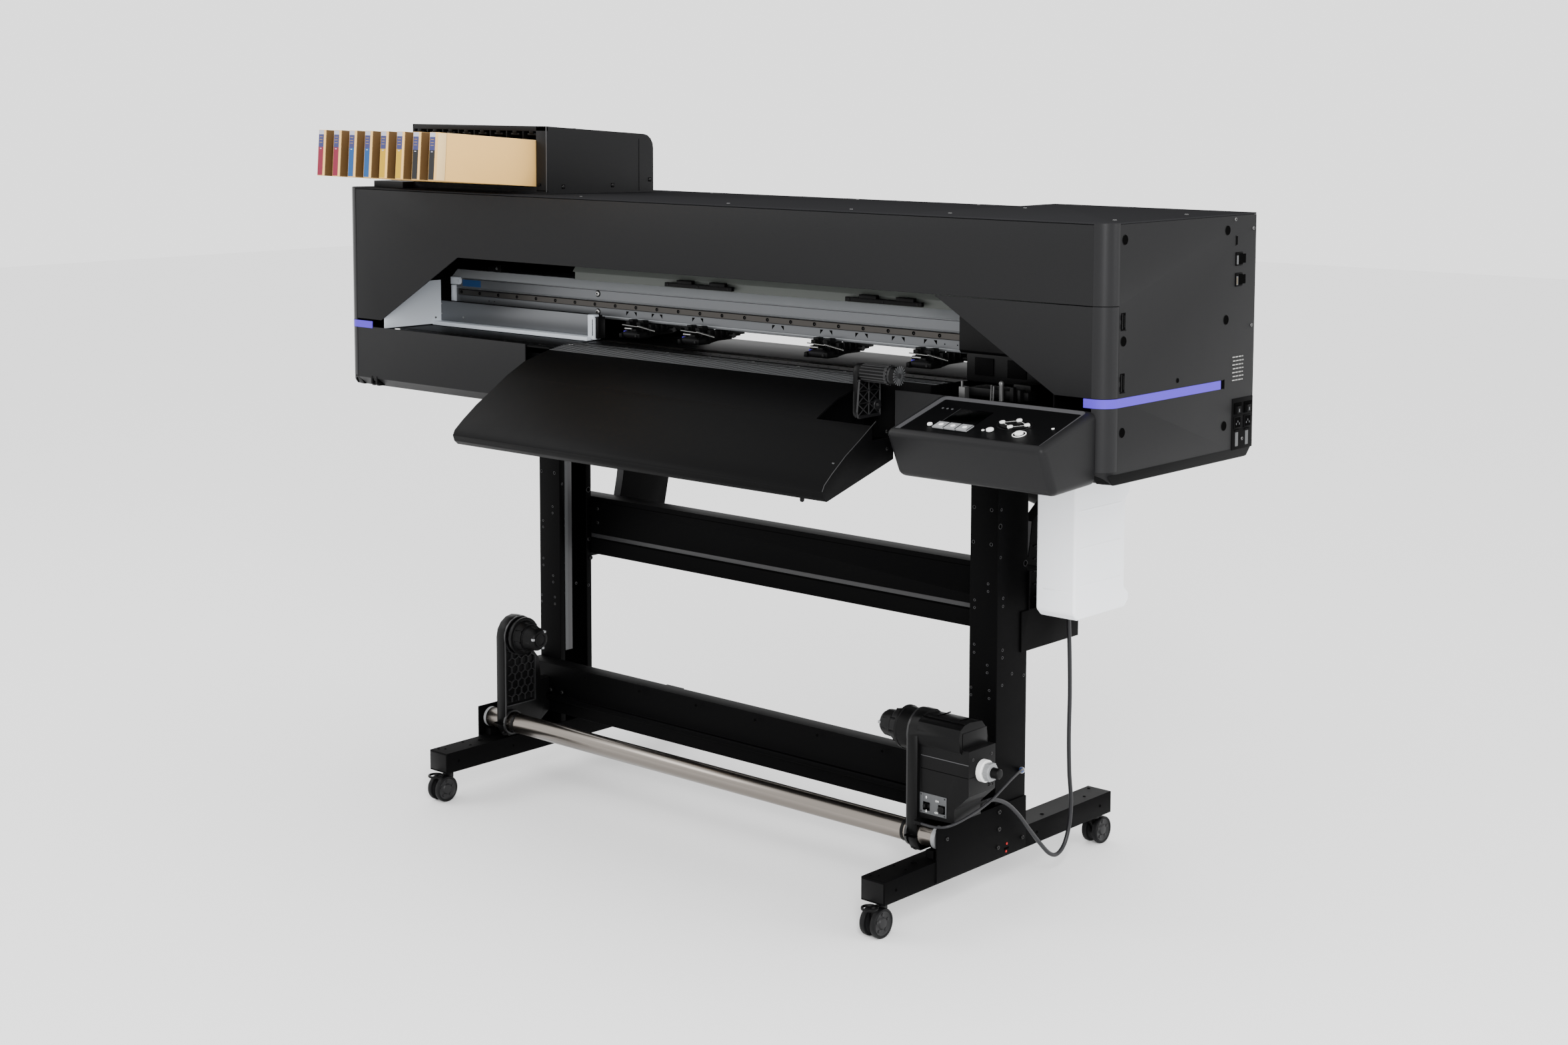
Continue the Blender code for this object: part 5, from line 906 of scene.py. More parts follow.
def make_ink_details():
    """Guide clips inside the ink unit's mouth, its floor ribs, and the notches and seam of the housing."""
    low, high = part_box("ink_box")
    mouth = deep(0.061)
    for n in range(9):
        x = min(max(CARTRIDGE_XS[0] + CARTRIDGE_PITCH * (n - 0.5), -0.825), -0.418)
        slabs((-2.2, 2.2, 1, 120, 1264, 1280, 0, 0.6), (-1.8, 1.8, 1, 100, 1356, 1379.5, 0, 0.6),
              (-4, 4, -4, 4, 1264, 1269, 0, 0.8), x=x, y=mouth)
    for x in CARTRIDGE_XS:
        slabs((-12.5, 12.5, 2, 20, 1366, 1370, 0, 0.8), (-6, 6, 0, 12, 1369, 1379, 0, 1),
              (-14.5, -12.8, 2, 16, 1257, 1272, 0, 0.5), (12.8, 14.5, 2, 16, 1257, 1272, 0, 0.5), x=x, y=mouth)
    piece("cartridge_guides", [BLACK_MOULDED], "machine", "black_plastic")
    side = high.x
    left = -0.83
    block((left, mouth - 0.0006, 1.3745), (side, mouth + 0.006, 1.3849), 0, 0.0012)
    slabs((-30, 0, -0.6, 6, 1252, 1384.9, 0, 1.2), x=side, y=mouth)
    slabs((0, 5, -0.6, 6, 1252, 1384.9, 0, 1.2), x=left, y=mouth)
    block((left, mouth - 0.0006, 1.249), (side, mouth + 0.006, 1.256), 0, 0.0012)
    piece("ink_mouth_rim", [CHARCOAL], "machine", "charcoal_cover")
    slabs((-0.5, 0.4, 325, 325.8, 1247, 1356, 1), x=side)
    for depth, z in ((0.1076, 1.2615), (0.2475, 1.2606), (0.3576, 1.2694)):
        slabs((-0.5, 0.3, -4.5, 4.5, -4.2, 4.2, 1, 0.2), x=side, y=deep(depth), z=z)
        screw_head((side + 0.0001, deep(depth), z), OUT_RIGHT, 0.0032, height=0.0012)
    # pale line down the ink box's front edge: painted highlight
    slabs((-1, 0.6, 60.6, 62.2, 1252, 1384, 2, 0.3), x=side)
    for depth in (0.12, 0.2, 0.28):
        for x in (low.x + 0.1, side - 0.018):
            screw_head((x, deep(depth), 1.385 - (depth - 0.061) * math.tan(INK_TILT)), UP, 0.003, height=0.0008)
    for n in range(9):
        z = 1.275 + 0.009 * n
        block((low.x + 0.13, deep(0.368), z), (side - 0.13, deep(0.36905), z + 0.003), 1)
    piece("ink_housing_screws", [DARK_SCREW, HOLE_BLACK, EDGE_HIGHLIGHT_GREY], "machine")


# ---------------------------------------------------------------- stand
LEG_XS = (-0.558, 0.594)
LEG_HALF = 0.0312
LEG_FRONT = deep(0.197)
FOOT_XS = (-0.553, 0.599)
FOOT_HALF = 0.0265
FOOT_TOP = 0.104
UPSTAND_OUT = {-1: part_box("left_foot")[0].x, 1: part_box("right_foot")[1].x}
FRONT_HOLES = ((-0.023, 0.709, 1), (0.016, 0.708, 1), (-0.024, 0.645, 1), (0.016, 0.645, 1), (0.01, 0.572, 0),
               (0.01, 0.558, 0), (-0.02, 0.538, 0), (-0.02, 0.524, 0), (-0.02, 0.456, 0), (-0.02, 0.441, 0),
               (0.01, 0.422, 0), (0.01, 0.408, 0), (-0.026, 0.375, 0), (-0.026, 0.361, 0), (0.015, 0.376, 0),
               (0.015, 0.361, 0))
SIDE_HOLES_LEG = ((0.206, 0.709, 0.002), (0.203, 0.679, 0.0042), (0.205, 0.622, 0.002), (0.282, 0.6, 0.005),
                  (0.214, 0.546, 0.002), (0.214, 0.531, 0.002), (0.214, 0.45, 0.002), (0.214, 0.436, 0.002),
                  (0.244, 0.401, 0.0022), (0.281, 0.391, 0.0022), (0.214, 0.385, 0.002))
FOOT_HOLES = ((-0.016, -0.108, 0.0026), (-0.005, -0.099, 0.002), (-0.017, -0.042, 0.0026), (0.011, -0.045, 0.0026),
              (0.0, -0.008, 0.006), (-0.016, 0.563, 0.0026), (0.007, 0.514, 0.0026), (0.009, 0.37, 0.0036))
UPSTAND_SCREWS = ((0.049, 0.14, 0.004), (0.205, 0.152, 0.0046), (0.205, 0.12, 0.0046), (0.202, 0.086, 0.004),
                  (0.278, 0.087, 0.004))


def make_stand_details():
    """Holes and screws of the legs, beams and feet, and the red marks beside the adjusting slots."""
    for leg in LEG_XS:
        for across, z, big in FRONT_HOLES:
            plugged_hole((leg + across, LEG_FRONT, z), TOWARDS, 0.0026 if big else 0.0017)
        for side in (-1, 1):
            for depth, z, radius in SIDE_HOLES_LEG:
                plugged_hole((leg + side * LEG_HALF, deep(depth), z), (side, 0, 0), radius)
            for depth, z in ((0.282, 0.492), (0.288, 0.45)):
                screw_head((leg + side * LEG_HALF, deep(depth), z), (side, 0, 0), 0.0048, paint=2, height=0.0026)
        for z in (0.3, 0.47, 0.64):
            for across in (-0.018, 0.018):
                plugged_hole((leg + across, LEG_FRONT + 0.093, z), (0, 1, 0), 0.003)
    inner = LEG_XS[0] + LEG_HALF
    # hole rims of the legs and the second strip down the left leg's inner face take the edge-highlight grey: painted
    # highlight
    slabs((-0.4, 0.5, 212, 221, 260, 755, 3), (-0.4, 0.3, 221.5, 232, 260, 755, 0), x=inner)
    piece("leg_holes_and_screws", [EDGE_HIGHLIGHT_GREY, HOLE_BLACK, DARK_SCREW, PLATE_GREY], "machine", "black_steel")
    for foot in FOOT_XS:
        for across, depth, radius in FOOT_HOLES:
            plugged_hole((foot + across, deep(depth), FOOT_TOP), UP, radius)
        for side in (-1, 1):
            for depth in (-0.09, 0.06, 0.33, 0.54):
                plugged_hole((foot + side * FOOT_HALF, deep(depth), 0.083), (side, 0, 0), 0.0026)
        for depth in (-0.1218, 0.5778):
            slabs((-24, 24, -0.8, 0.8, 65.5, 100.5, 3, 0.6), x=foot, y=deep(depth))
    piece("foot_holes", [BLACK_COAT, HOLE_BLACK, DARK_SCREW, BLACK_MOULDED], "machine", "black_steel")
    for side, probe in UPSTAND_OUT.items():
        for depth, z, radius in UPSTAND_SCREWS:
            screw_head((probe, deep(depth), z), (side, 0, 0), radius, height=0.0024)
        slabs((-0.4, 0.4, 222, 236, 76, 80, 1, 0.1), x=probe)
        for depth, z in ((0.23, 0.0865), (0.228, 0.0725)):
            turned(mm((-0.3, 2.4), (0.5, 2.2), (0.6, 0)), (probe, deep(depth), z), (side, 0, 0), steps=14, paint=2)
    piece("upstand_screws_and_marks", [DARK_SCREW, HOLE_BLACK, MARK_RED], "machine")
    # upper beam: groove strip, its shadow line and the folded top edge
    inner_left, inner_right = LEG_XS[0] + LEG_HALF + 0.001, LEG_XS[1] - LEG_HALF - 0.001
    face = deep(0.29)
    long = (inner_right - inner_left) / MM
    slabs((0, long, -0.6, 1, 496, 504.5, 0, 0.3), (0, long, -0.3, 1, 492, 495.5, 1),
          (0, long, -0.5, 1, 574.4, 575.2, 1), x=inner_left, y=face)
    for x in (inner_left + 0.02, inner_right - 0.02):
        for z in (0.53, 0.56):
            screw_head((x, face, z), TOWARDS, 0.0042, paint=3, height=0.0024)
    piece("upper_beam_strip", [DISC_GREY, HOLE_BLACK, BLACK_COAT, DARK_SCREW], "machine", "black_steel")
    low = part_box("lower_beam")[0]
    for x in (-0.505, -0.47, 0.47, 0.505):
        screw_head((x, low.y, 0.19), TOWARDS, 0.004, paint=1, socket=2, height=0.0022)
    for n in range(6):
        plugged_hole((-0.4 + 0.16 * n, low.y, 0.233), TOWARDS, 0.0024, rim=0, dark=2)
    piece("lower_beam_screws", [BLACK_COAT, DARK_SCREW, HOLE_BLACK], "machine", "black_steel")


def make_castor(corner):
    """Twin turned wheels with treads, hubs and axle, and the collar of the yoke's stem."""
    low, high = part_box(f"{corner}_castor_wheels")
    centre = (low + high) / 2
    radius = (high.z - low.z) / 2
    reach = (high.x - low.x) / 2
    for side in (-1, 1):
        inner, outer = reach - 0.0115, reach
        turned([(inner, 0.005), (inner, radius * 0.8), (inner + 0.0008, radius * 0.97), (inner + 0.0024, radius),
               (outer - 0.0024, radius), (outer - 0.0006, radius * 0.96), (outer, radius * 0.86),
               (outer - 0.0016, radius * 0.8), (outer - 0.003, radius * 0.72), (outer - 0.0034, radius * 0.42),
               (outer - 0.001, radius * 0.34), (outer - 0.0006, radius * 0.18), (outer - 0.0004, 0.0)], centre,
               (side, 0, 0), steps=40, bands=((outer - 0.004, outer + 0.001, 0.0, radius * 0.8, 1),
               (inner - 0.001, inner + 0.0002, 0.0, radius * 0.8, 1)))
        for n in range(5):
            a = math.tau * n / 5 + 0.3
            spot = (centre.x + side * (outer - 0.0033), centre.y + math.cos(a) * radius * 0.57,
                    centre.z + math.sin(a) * radius * 0.57)
            turned(mm((-0.4, 3.2), (1, 3), (1.2, 2.2), (1.2, 0)), spot, (side, 0, 0), steps=12, paint=1)
    barrel((centre.x - reach + 0.01, centre.y, centre.z), (centre.x + reach - 0.01, centre.y, centre.z), 0.0046,
           sides=16, paint=1)
    piece(f"{corner}_wheels", [TREAD, CASTOR_HUB], f"{corner}_castor_wheels", "castor_tread",
          stands_for=f"{corner}_castor_wheels")
    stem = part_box(f"{corner}_castor_yoke")
    top = stem[1].z
    x = (stem[0].x + stem[1].x) / 2
    y = centre.y - 0.018
    turned(mm((0, 12.5), (0, 15), (1.2, 15.8), (3.4, 15.8), (4.4, 15), (4.4, 12.5)), (x, y, top - 0.0085), UP)
    piece(f"{corner}_castor_collar", [BLACK_MOULDED], f"{corner}_castor")


# ---------------------------------------------------------------- take-up unit
ROLL = (deep(0.07), 0.32)
TUBE = (deep(0.05), 0.138)
ARM_FACES = (("takeup_left_arm", -0.519, 1, "takeup_left_arm"), ("takeup_right_arm", 0.555, -1, "machine"))


def lattice_corners(front, low):
    """Corner points of the first half of each hexagon, row by row."""
    size = 0.0105
    for row in range(7):
        for column in range(5):
            middle = Vector((front + size * math.sqrt(3.0) * (column + 0.5 * (row % 2)) + 0.008,
                             low + size * 1.5 * row + 0.01))
            yield [middle + Vector((math.sin(math.pi / 3 * k), math.cos(math.pi / 3 * k))) * size for k in range(4)]


def rib(start, end, thick, reach):
    """Upright rib of a thickness between two points of a side view, across a reach in x."""
    start, end = Vector(start), Vector(end)
    along = (end - start).normalized()
    across = Vector((-along.y, along.x)) * thick / 2
    drawn([start + across, end + across, end - across, start - across], "X", *reach)


def make_arm_lattice():
    """Raised rim and hexagonal ribs on the inner faces of the take-up arms."""
    depth = 0.004
    front, rear, low, high = deep(0.031), deep(0.113), 0.176, 0.292
    for name, face, out, body in ARM_FACES:
        reach = sorted((face - out * 0.0005, face + out * depth))
        for corners in lattice_corners(front, low):
            for a, b in zip(corners, corners[1:]):
                if all(front + 0.001 < p.x < rear - 0.001 and low < p.y < high for p in (a, b)):
                    rib(a, b, 0.0012, reach)
        rib((front, 0.136), (front, 0.32), 0.0024, reach)
        rib((rear, 0.268), (rear, 0.174), 0.0024, reach)
        rib((front, 0.174), (rear, 0.174), 0.002, reach)
        for place, inner, outer, height in ((ROLL, 0.039, 0.0412, depth), (TUBE, 0.0225, 0.0252, depth + 0.001)):
            turned([(0.0, inner), (height, inner), (height, outer), (0.0, outer)], (face, *place), (out, 0, 0),
                   steps=40 if place == ROLL else 36)
        # ribs lighter than the arm's moulding: painted highlight on the lattice
        piece(f"{name}_ribs", [RIB_PAINTED_HIGHLIGHT], body, "black_plastic")


def make_flange_details():
    """Fins, pale clips and the turned end of each roll flange."""
    for name, face, inward, hub in (("takeup_left_flange", -0.519, 1, 0.013),
                ("takeup_right_flange", 0.555, -1, 0.029)):
        start = face + inward * (0.0004 + hub + 0.006)
        for n in range(8):
            a = math.tau * n / 8 + 0.2
            for radius, reach_from, reach_to in ((0.03, 0.0, 0.018), (0.0225, 0.018, 0.04)):
                spot = Vector((0.0, math.cos(a) * radius, math.sin(a) * radius))
                low = Vector((start + inward * reach_from, ROLL[0], ROLL[1])) + spot
                high = Vector((start + inward * reach_to, ROLL[0], ROLL[1])) + spot
                barrel(low, high, 0.003, 0.002, sides=6)
        turned(mm((0, 38.5), (0.8, 39.6), (5.2, 39.6), (6, 38.5)), (face + inward * (0.0004 + hub), *ROLL),
               (inward, 0, 0), steps=48)
        turned(mm((0, 25), (1.5, 25.8), (3, 25.8), (4.5, 25)), (start + inward * 0.019, *ROLL), (inward, 0, 0),
               steps=40)
        tip = face + inward * (0.0004 + hub + 0.055)
        turned(mm((-1, 15), (1.2, 14.6), (1.2, 12), (-0.4, 11.2), (-0.4, 0)), (tip, *ROLL), (inward, 0, 0), steps=36)
        for n in range(3):
            a = math.tau * n / 3 + 0.9
            spot = Vector((tip, ROLL[0] + math.cos(a) * 0.0195, ROLL[1] + math.sin(a) * 0.0195))
            block(spot - Vector((0.012 if inward > 0 else 0.001, 0.0024, 0.0024)),
                  spot + Vector((0.001 if inward > 0 else 0.012, 0.0024, 0.0024)), 1, 0.0006)
        piece(f"{name}_fins", [BLACK_MOULDED, CLIP_GREY], name, "black_plastic")


def make_motor_details():
    """Seams, switch plate and signs of the take-up drive, clamp screws and end caps of the tube, torque limiter."""
    right = 0.685
    # the first line, along the housing's upper seam, is a painted highlight in edge grey
    slabs((579, 684.4, 35.4, 37, 285.8, 287.2, 1, 0.2), (579, 684.4, 35.8, 37, 262.6, 263.6, 2),
          (684, 685.1, 38, 112, 262.6, 263.6, 2), (599, 600.4, 58, 95, 354.5, 356.6, 2),
          (648, 649.4, 58, 95, 354.5, 356.6, 2), (576.5, 668.5, 44, 45.2, 351.5, 355, 2),
          (669.5, 670, 38, 108, 312, 340, 0, 0.2))
    for depth, z in ((0.048, 0.295), (0.102, 0.295), (0.1, 0.24)):
        screw_head((right, deep(depth), z), OUT_RIGHT, 0.003, paint=3, socket=2, height=0.001)
    for n in range(6):
        slabs((-0.6, 0.2, 93, 108, 0, 1.6, 2), x=right, z=0.238 + 0.0036 * n)
    piece("drive_housing_details", [BLACK_MOULDED, EDGE_HIGHLIGHT_GREY, HOLE_BLACK, DARK_SCREW], "machine", "black_plastic")
    # plate round the two switches
    face = deep(0.035)
    slabs((577.7, 584.7, 35, 36.4, 182, 219, 0, 0.2), (600.3, 618.7, 35, 36.4, 182, 219, 0, 0.2),
          (634.3, 637, 35, 36.4, 182, 219, 0, 0.2), (584.5, 600.5, 35, 36.4, 182, 187.7, 0, 0.2),
          (584.5, 600.5, 35, 36.4, 203.3, 219, 0, 0.2), (618.5, 634.5, 35, 36.4, 182, 187.7, 0, 0.2),
          (618.5, 634.5, 35, 36.4, 203.3, 219, 0, 0.2))
    for x, z in ((0.5812, 0.216), (0.6335, 0.216), (0.5812, 0.185), (0.6335, 0.185)):
        screw_head((x, face, z), TOWARDS, 0.0015, paint=1, height=0.0006)
    piece("switch_plate", [PLATE_GREY, DARK_SCREW], "machine", "black_plastic")
    for z, tip in ((0.2118, 1), (0.1868, -1)):
        drawn(mm((-1.8, 0), (1.8, 0), (0, tip * 2.6), a=0.5925, b=z), "Y", face - 0.0001, face + 0.0002)
        slabs((-0.6, 0.6, -0.1, 0.2, min(0, -tip * 2.4), max(0, -tip * 2.4)), x=0.5925, y=face, z=z)
    piece("direction_arrows", [KEY_PALE], "machine")
    for text, x, z in (("ON", 0.6165, 0.2075), ("OFF", 0.6152, 0.1862)):
        sign = bpy.data.curves.new(f"sign_{text}", "FONT")
        sign.body = text
        sign.size = 0.0046
        sign.extrude = 0.0001
        sign.align_x = "CENTER"
        flat = bpy.data.objects.new(f"sign_{text}_outline", sign)
        bpy.context.scene.collection.objects.link(flat)
        bpy.context.view_layer.update()
        mesh = bpy.data.meshes.new_from_object(flat)
        bpy.data.objects.remove(flat)
        BENCH.from_mesh(mesh)
        upright = Matrix.Translation((x, face - 0.0001, z)) @ Matrix.Rotation(math.pi / 2, 4, "X")
        bmesh.ops.transform(BENCH, matrix=upright, verts=BENCH.verts)
        piece(f"switch_sign_{text.lower()}", [KEY_PALE], "machine")
    # clamp screws of the tube and the tube's end caps
    for arm, middle, body in (("left", -0.53, "takeup_left_arm"), ("right", 0.566, "machine")):
        turned(mm((-4, 0), (-4, 8.5), (3, 9), (4.5, 8.2), (4.5, 5), (3.5, 4.6), (3.5, 0)),
               (middle, deep(0.041), 0.118), TOWARDS, steps=28)
        turned(mm((3.5, 0), (3.5, 3.6), (5.6, 3.2), (5.6, 0)), (middle, deep(0.041), 0.118), TOWARDS, steps=6,
               paint=1)
        slabs((-11.6, 11.6, -30, -23, 137, 139, 2), x=middle, y=TUBE[0])
        piece(f"tube_clamp_screw_{arm}", [BLACK_MOULDED, DARK_SCREW, HOLE_BLACK], body, "black_plastic")
    for end, out in ((0.612, 1), (-0.585, -1)):
        turned(mm((-6, 20.6), (1, 20.6), (2.2, 19.6), (2.2, 15), (1, 14.2), (1, 0)), (end, *TUBE), (out, 0, 0),
               steps=40)
        x0, x1 = sorted((-4 * out, 3.5 * out))
        slabs((x0, x1, -4, 4, -5, 1, 1, 0.8), x=end, y=TUBE[0], z=TUBE[1])
    for x in (-0.5, 0.54):
        turned(mm((-3.5, 20.2), (-3, 21), (3, 21), (3.5, 20.2)), (x, *TUBE), OUT_RIGHT, steps=40, paint=2)
    piece("tube_end_caps", [CLIP_GREY, DARK_SCREW, BLACK_MOULDED], "machine", "stainless")
    # torque limiter: white disc, notched grey nut, black cap
    spot = Vector((right + 0.0004, deep(0.074), 0.271))
    turned(mm((0, 0), (0, 19.2), (1, 20), (10.5, 20), (11.8, 19), (12, 15), (12, 0)), spot, OUT_RIGHT, steps=44)
    turned(mm((11.8, 0), (11.8, 15.5), (12.8, 16), (22.5, 16), (23.8, 15), (24, 10), (24, 0)), spot, OUT_RIGHT,
           steps=36, paint=1)
    for n in range(6):
        a = math.tau * n / 6
        notch = spot + Vector((0.0, math.cos(a) * 0.015, math.sin(a) * 0.015))
        barrel(notch + Vector((0.0125, 0, 0)), notch + Vector((0.0232, 0, 0)), 0.0024, sides=10, paint=1)
    turned(mm((23.8, 0), (23.8, 9.8), (38, 9.2), (39.6, 7.8), (40, 4), (40, 0)), spot, OUT_RIGHT, paint=2)
    turned(mm((40, 3), (39.4, 2.8), (39.4, 0)), spot, OUT_RIGHT, steps=20, paint=3)
    piece("torque_limiter", [KEY_PALE, KEY_GREY, BLACK_MOULDED, HOLE_BLACK], "torque_knob", "key_white",
          stands_for="torque_knob")


# ---------------------------------------------------------------- feed arms, tank and cables
def make_feed_details():
    """Grey edge strips that are painted highlights, ribs and screws of the rear feed arms."""
    centre = (deep(0.462), 0.7)
    for name, x0 in (("feed_left_arm", -0.516), ("feed_right_arm", 0.561)):
        x1 = x0 + 0.022
        inward = 1 if x0 < 0 else -1
        drawn(side_view((361.5, 660), (355.5, 620), (345.5, 575), (353.5, 520), (354.7, 520), (346.7, 575),
                        (356.7, 620), (362.7, 660)), "X", x0 + 0.0015, x1 - 0.0015, 1)
        for depth, z in ((0.3485, 0.545), (0.358, 0.64)):
            screw_head(((x0 + x1) / 2, deep(depth), z), TOWARDS, 0.003, paint=2, socket=3, height=0.0012)
        outer = x0 if inward > 0 else x1
        a, b = sorted((-2.2 * inward, 0.5 * inward))
        for n in range(6):
            slabs((a, b, 366, 440, 0, 2, 0, 0.4), x=outer, z=0.492 + 0.024 * n)
        for face, out in ((x0, -1), (x1, 1)):
            turned(mm((0, 39), (2.2, 39), (2.2, 41.2), (0, 41.2)), (face, *centre), (out, 0, 0), steps=40)
        turned(mm((0, 12), (3, 11.5), (3, 6), (1.5, 5.5), (1.5, 0)), (outer, *centre), (-inward, 0, 0), steps=28)
        piece(f"{name}_details", [BLACK_MOULDED, EDGE_HIGHLIGHT_GREY, ZINC, HOLE_BLACK], name, "black_plastic")


def make_tank():
    """Blow-moulded waste tank: chamfered corners, a grip sunk in its rear face, ribs, neck and cap."""
    low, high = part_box("waste_tank")
    cut, grip = 0.013, 0.015
    outline = [(low.y + cut, low.z), (high.y - cut, low.z), (high.y, low.z + cut), (high.y, low.z + 0.028),
                (high.y - grip, low.z + 0.04), (high.y - grip, high.z - 0.056), (high.y, high.z - 0.044),
                (high.y, high.z - cut), (high.y - cut, high.z), (low.y + cut, high.z), (low.y, high.z - cut),
                (low.y, low.z + cut)]
    drawn(outline, "X", low.x, high.x)
    tank = piece("tank_shell", [BOTTLE], "waste_tank", "tank_white", stands_for="waste_tank", edge=0.005)
    tank.modifiers["bevel"].segments = 4
    for z in (low.z + 0.06, (low.z + high.z) / 2, high.z - 0.06):
        block((high.x - 0.002, low.y + 0.016, z), (high.x + 0.0006, high.y - 0.03, z + 0.004), 0, 0.0012)
        block((low.x - 0.0006, low.y + 0.016, z), (low.x + 0.002, high.y - 0.03, z + 0.004), 0, 0.0012)
    block((low.x + 0.016, low.y - 0.0006, low.z + 0.05), (high.x - 0.016, low.y + 0.002, low.z + 0.054), 0, 0.0012)
    piece("tank_ribs", [BOTTLE], "waste_tank", "tank_white")
    middle = ((low.x + high.x) / 2, (low.y + high.y) / 2 - 0.03, high.z)
    turned(mm((-2, 15), (8, 15), (8, 18.5), (10, 19.5), (24, 19.5), (26, 18), (26, 10)), middle, UP, steps=36)
    barrel((middle[0], middle[1], high.z + 0.02), (middle[0], middle[1], 0.816), 0.008, paint=1)
    for n in range(18):
        a = math.tau * n / 18
        spot = Vector(middle) + Vector((math.cos(a), math.sin(a), 0.0)) * 0.0192
        barrel(spot + Vector((0, 0, 0.011)), spot + Vector((0, 0, 0.0235)), 0.0012, sides=6)
    piece("tank_cap_and_drain", [BLACK_MOULDED, CLIP_GREY], "waste_tank", "tank_white")


THICK_ROUTE = ((0.652, 0.392, 0.8397), (0.652, 0.392, 0.812), (0.651, 0.391, 0.76), (0.65, 0.388, 0.69),
               (0.65, 0.386, 0.6), (0.65, 0.387, 0.5), (0.65, 0.392, 0.42), (0.65, 0.395, 0.34),
               (0.65, 0.394, 0.26), (0.65, 0.397, 0.19), (0.65, 0.404, 0.13), (0.65, 0.399, 0.085),
               (0.65, 0.384, 0.052), (0.65, 0.361, 0.0385), (0.65, 0.336, 0.046), (0.65, 0.306, 0.072),
               (0.65, 0.27, 0.108), (0.65, 0.234, 0.145), (0.649, 0.198, 0.174), (0.648, 0.16, 0.19),
               (0.646, 0.133, 0.1905), (0.6458, 0.1148, 0.19))
THIN_ROUTE = ((0.6281, 0.279, 0.2124), (0.635, 0.267, 0.219), (0.644, 0.246, 0.2215), (0.65, 0.215, 0.217),
              (0.655, 0.18, 0.208), (0.659, 0.145, 0.198), (0.661, 0.11, 0.19), (0.661, 0.075, 0.184),
              (0.659, 0.045, 0.179), (0.652, 0.024, 0.1745), (0.637, 0.016, 0.1705), (0.619, 0.018, 0.168),
              (0.598, 0.022, 0.1665), (0.5776, 0.0225, 0.1663))


def smooth_route(route, spacing):
    """Points of a smooth curve through the route, about a spacing apart."""
    route = [Vector((x, deep(depth), z)) for x, depth, z in route]
    ends = [route[0] * 2 - route[1]] + route + [route[-1] * 2 - route[-2]]
    line = []
    for a, b, c, d in zip(ends, ends[1:], ends[2:], ends[3:]):
        steps = max(2, round((c - b).length / spacing))
        for k in range(steps):
            t = k / steps
            line.append(0.5 * (2 * b + (c - a) * t + (2 * a - 5 * b + 4 * c - d) * t * t
                               + (3 * b - a - 3 * c + d) * t * t * t))
    return line + [route[-1]]


def make_cable(name, route, radius, node):
    """A smooth curve piece along a cable's route; returns it with its measured length."""
    line = smooth_route(route, radius * 2.0)
    curve = bpy.data.curves.new(name, "CURVE")
    curve.dimensions = "3D"
    curve.bevel_depth = radius
    curve.bevel_resolution = 5
    curve.use_fill_caps = True
    spline = curve.splines.new("POLY")
    spline.points.add(len(line) - 1)
    for point, place in zip(spline.points, line):
        point.co = (*place, 1.0)
    spline.use_smooth = True
    curve.materials.append(SHEATH)
    made = bpy.data.objects.new(name, curve)
    bpy.context.scene.collection.objects.link(made)
    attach(made, "machine")
    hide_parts(node)
    return made, line, sum((b - a).length for a, b in zip(line, line[1:]))


def make_cables():
    """The drive's supply cable with its gland and boot, and the thin sensor lead with its connectors."""
    thick, thick_line, thick_length = make_cable("drive_supply_cable", THICK_ROUTE, 0.004, "motor_cable")
    thin, thin_line, thin_length = make_cable("sensor_lead", THIN_ROUTE, 0.0025, "sensor_cable")
    start = thick_line[0]
    turned(mm((-0.5, 4.2), (0, 9.5), (4, 9.5), (5.2, 8.5), (6, 6.4), (24, 5), (24.8, 4.1)), start, (0.0, 0.0, -1.0),
           steps=28)
    piece("supply_cable_gland", [BLACK_MOULDED], "machine", "black_plastic")
    finish_at = thick_line[-1]
    back_way = (thick_line[-4] - thick_line[-1]).normalized()
    turned(mm((-0.6, 4.2), (0, 8.8), (4, 8.8), (5, 7.8), (6, 6.2), (23, 4.9), (23.6, 4.1)), finish_at, back_way,
           steps=28)
    piece("supply_cable_boot", [BLACK_MOULDED], "machine", "black_plastic")
    plug = thin_line[0] - Vector((0.0022, 0.0, 0.0))
    first_way = (thin_line[5] - thin_line[0]).normalized()
    turned(mm((0, 2.6), (0, 5.5), (6, 5.5), (7, 4.8), (14, 3.6), (14.5, 2.6)),
           plug, first_way, steps=24, paint=1)
    turned(mm((6, 5.6), (6.4, 6), (7.6, 6), (8, 5)), plug, first_way, steps=24)
    end_way = (thin_line[-6] - thin_line[-1]).normalized()
    turned(mm((0, 2.6), (0, 4.8), (4.5, 4.8), (5.5, 4.2), (13, 3.4), (13.4, 2.6)),
           thin_line[-1] + Vector((0.0002, 0.0, 0.0)), end_way, steps=24, paint=2)
    piece("sensor_lead_connectors", [ZINC, CONNECTOR_BLUE, BLACK_MOULDED], "machine")


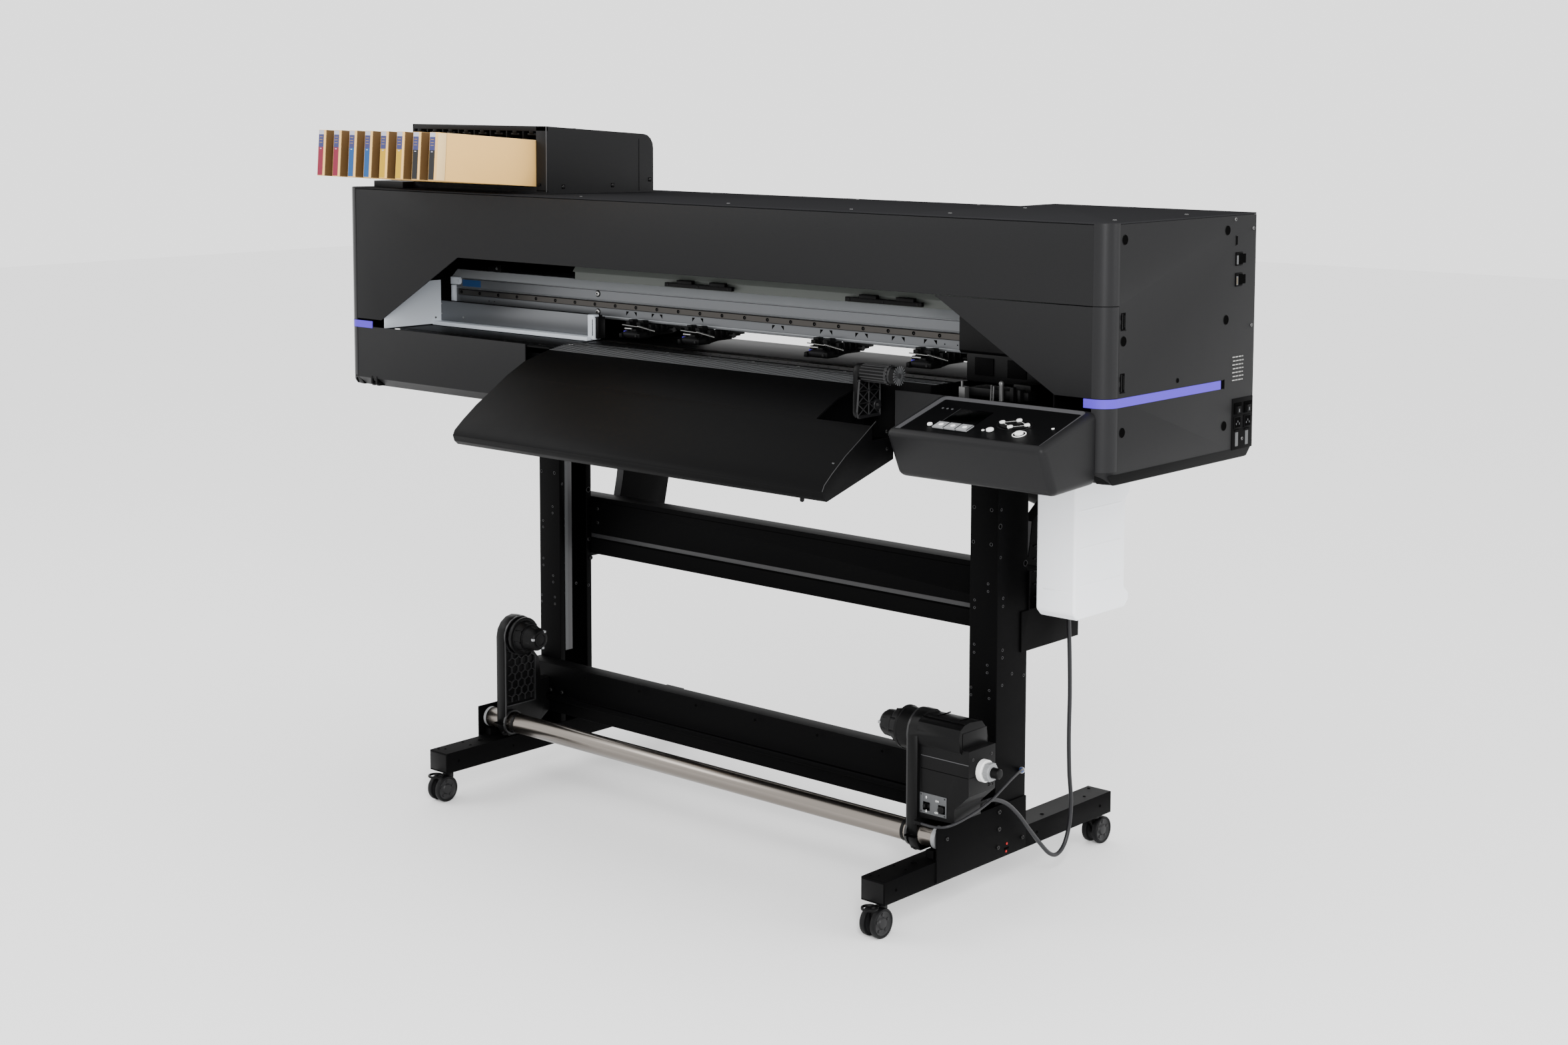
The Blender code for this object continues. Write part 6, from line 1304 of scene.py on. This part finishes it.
# ---------------------------------------------------------------- the machine
set_camera()
light_studio()
dress("top_cover", TOP_MATTE, 0.0008)
dress("left_side_cover right_side_cover left_lower_cover right_lower_cover rear_cover front_cover"
      " maintenance_cover", CHARCOAL, 0.0008)
dress("ink_box", CHARCOAL, 0.0012)
dress("panel_housing", PANEL_MOULDED, 0.003)
dress("front_paper_guide", GUIDE_BLACK, 0.0025)
dress("platen", GUIDE_BLACK, 0.0008)
dress("left_foot right_foot left_leg right_leg upper_beam lower_beam", BLACK_COAT, 0.0012)
dress("chassis", BLACK_COAT)
dress("y_beam", ANODISED)
dress("carriage pinch_bar clamp_lever", BLACK_MOULDED)
dress("feed_roller takeup_tube", TUBE_STEEL)
dress("takeup_left_arm takeup_right_arm takeup_left_flange takeup_right_flange direction_switch start_switch",
      BLACK_MOULDED, 0.0015)
dress("feed_left_arm feed_right_arm", BLACK_COAT, 0.0015)
dress("torque_knob jog_pad select_key power_key enter_key", KEY_PALE, 0.0004)
dress("function_key_1 function_key_2 function_key_3", KEY_GREY, 0.0005)
dress("waste_tank", BOTTLE, 0.006)
for number in range(1, 9):
    dress(f"ink_cartridge_{number}", CREAM, 0.001)
for corner in ("front_left", "front_right", "rear_left", "rear_right"):
    dress(f"{corner}_castor_wheels", TREAD, 0.002)
    dress(f"{corner}_castor_yoke", BLACK_MOULDED)
dress("motor_cable sensor_cable", SHEATH, 0.0002)

make_cables()
make_violet_bands()
make_corner_strips()
make_side_fittings()
make_lower_chamfer_shade()
make_corner_chamfers()
make_rear_details()
make_top_details()
make_beam()
make_inner_panels()
make_pinch_units()
make_carriage()
make_platen_details()
make_station_fittings()
make_guide_details()
make_lever_details()
make_panel_details()
for number, (x, colour) in enumerate(zip(CARTRIDGE_XS, CARTRIDGE_COLOURS), 1):
    make_cartridge(number, x, colour)
make_ink_details()
make_stand_details()
for corner in ("front_left", "front_right", "rear_left", "rear_right"):
    make_castor(corner)
make_arm_lattice()
make_flange_details()
make_motor_details()
make_feed_details()
make_tank()
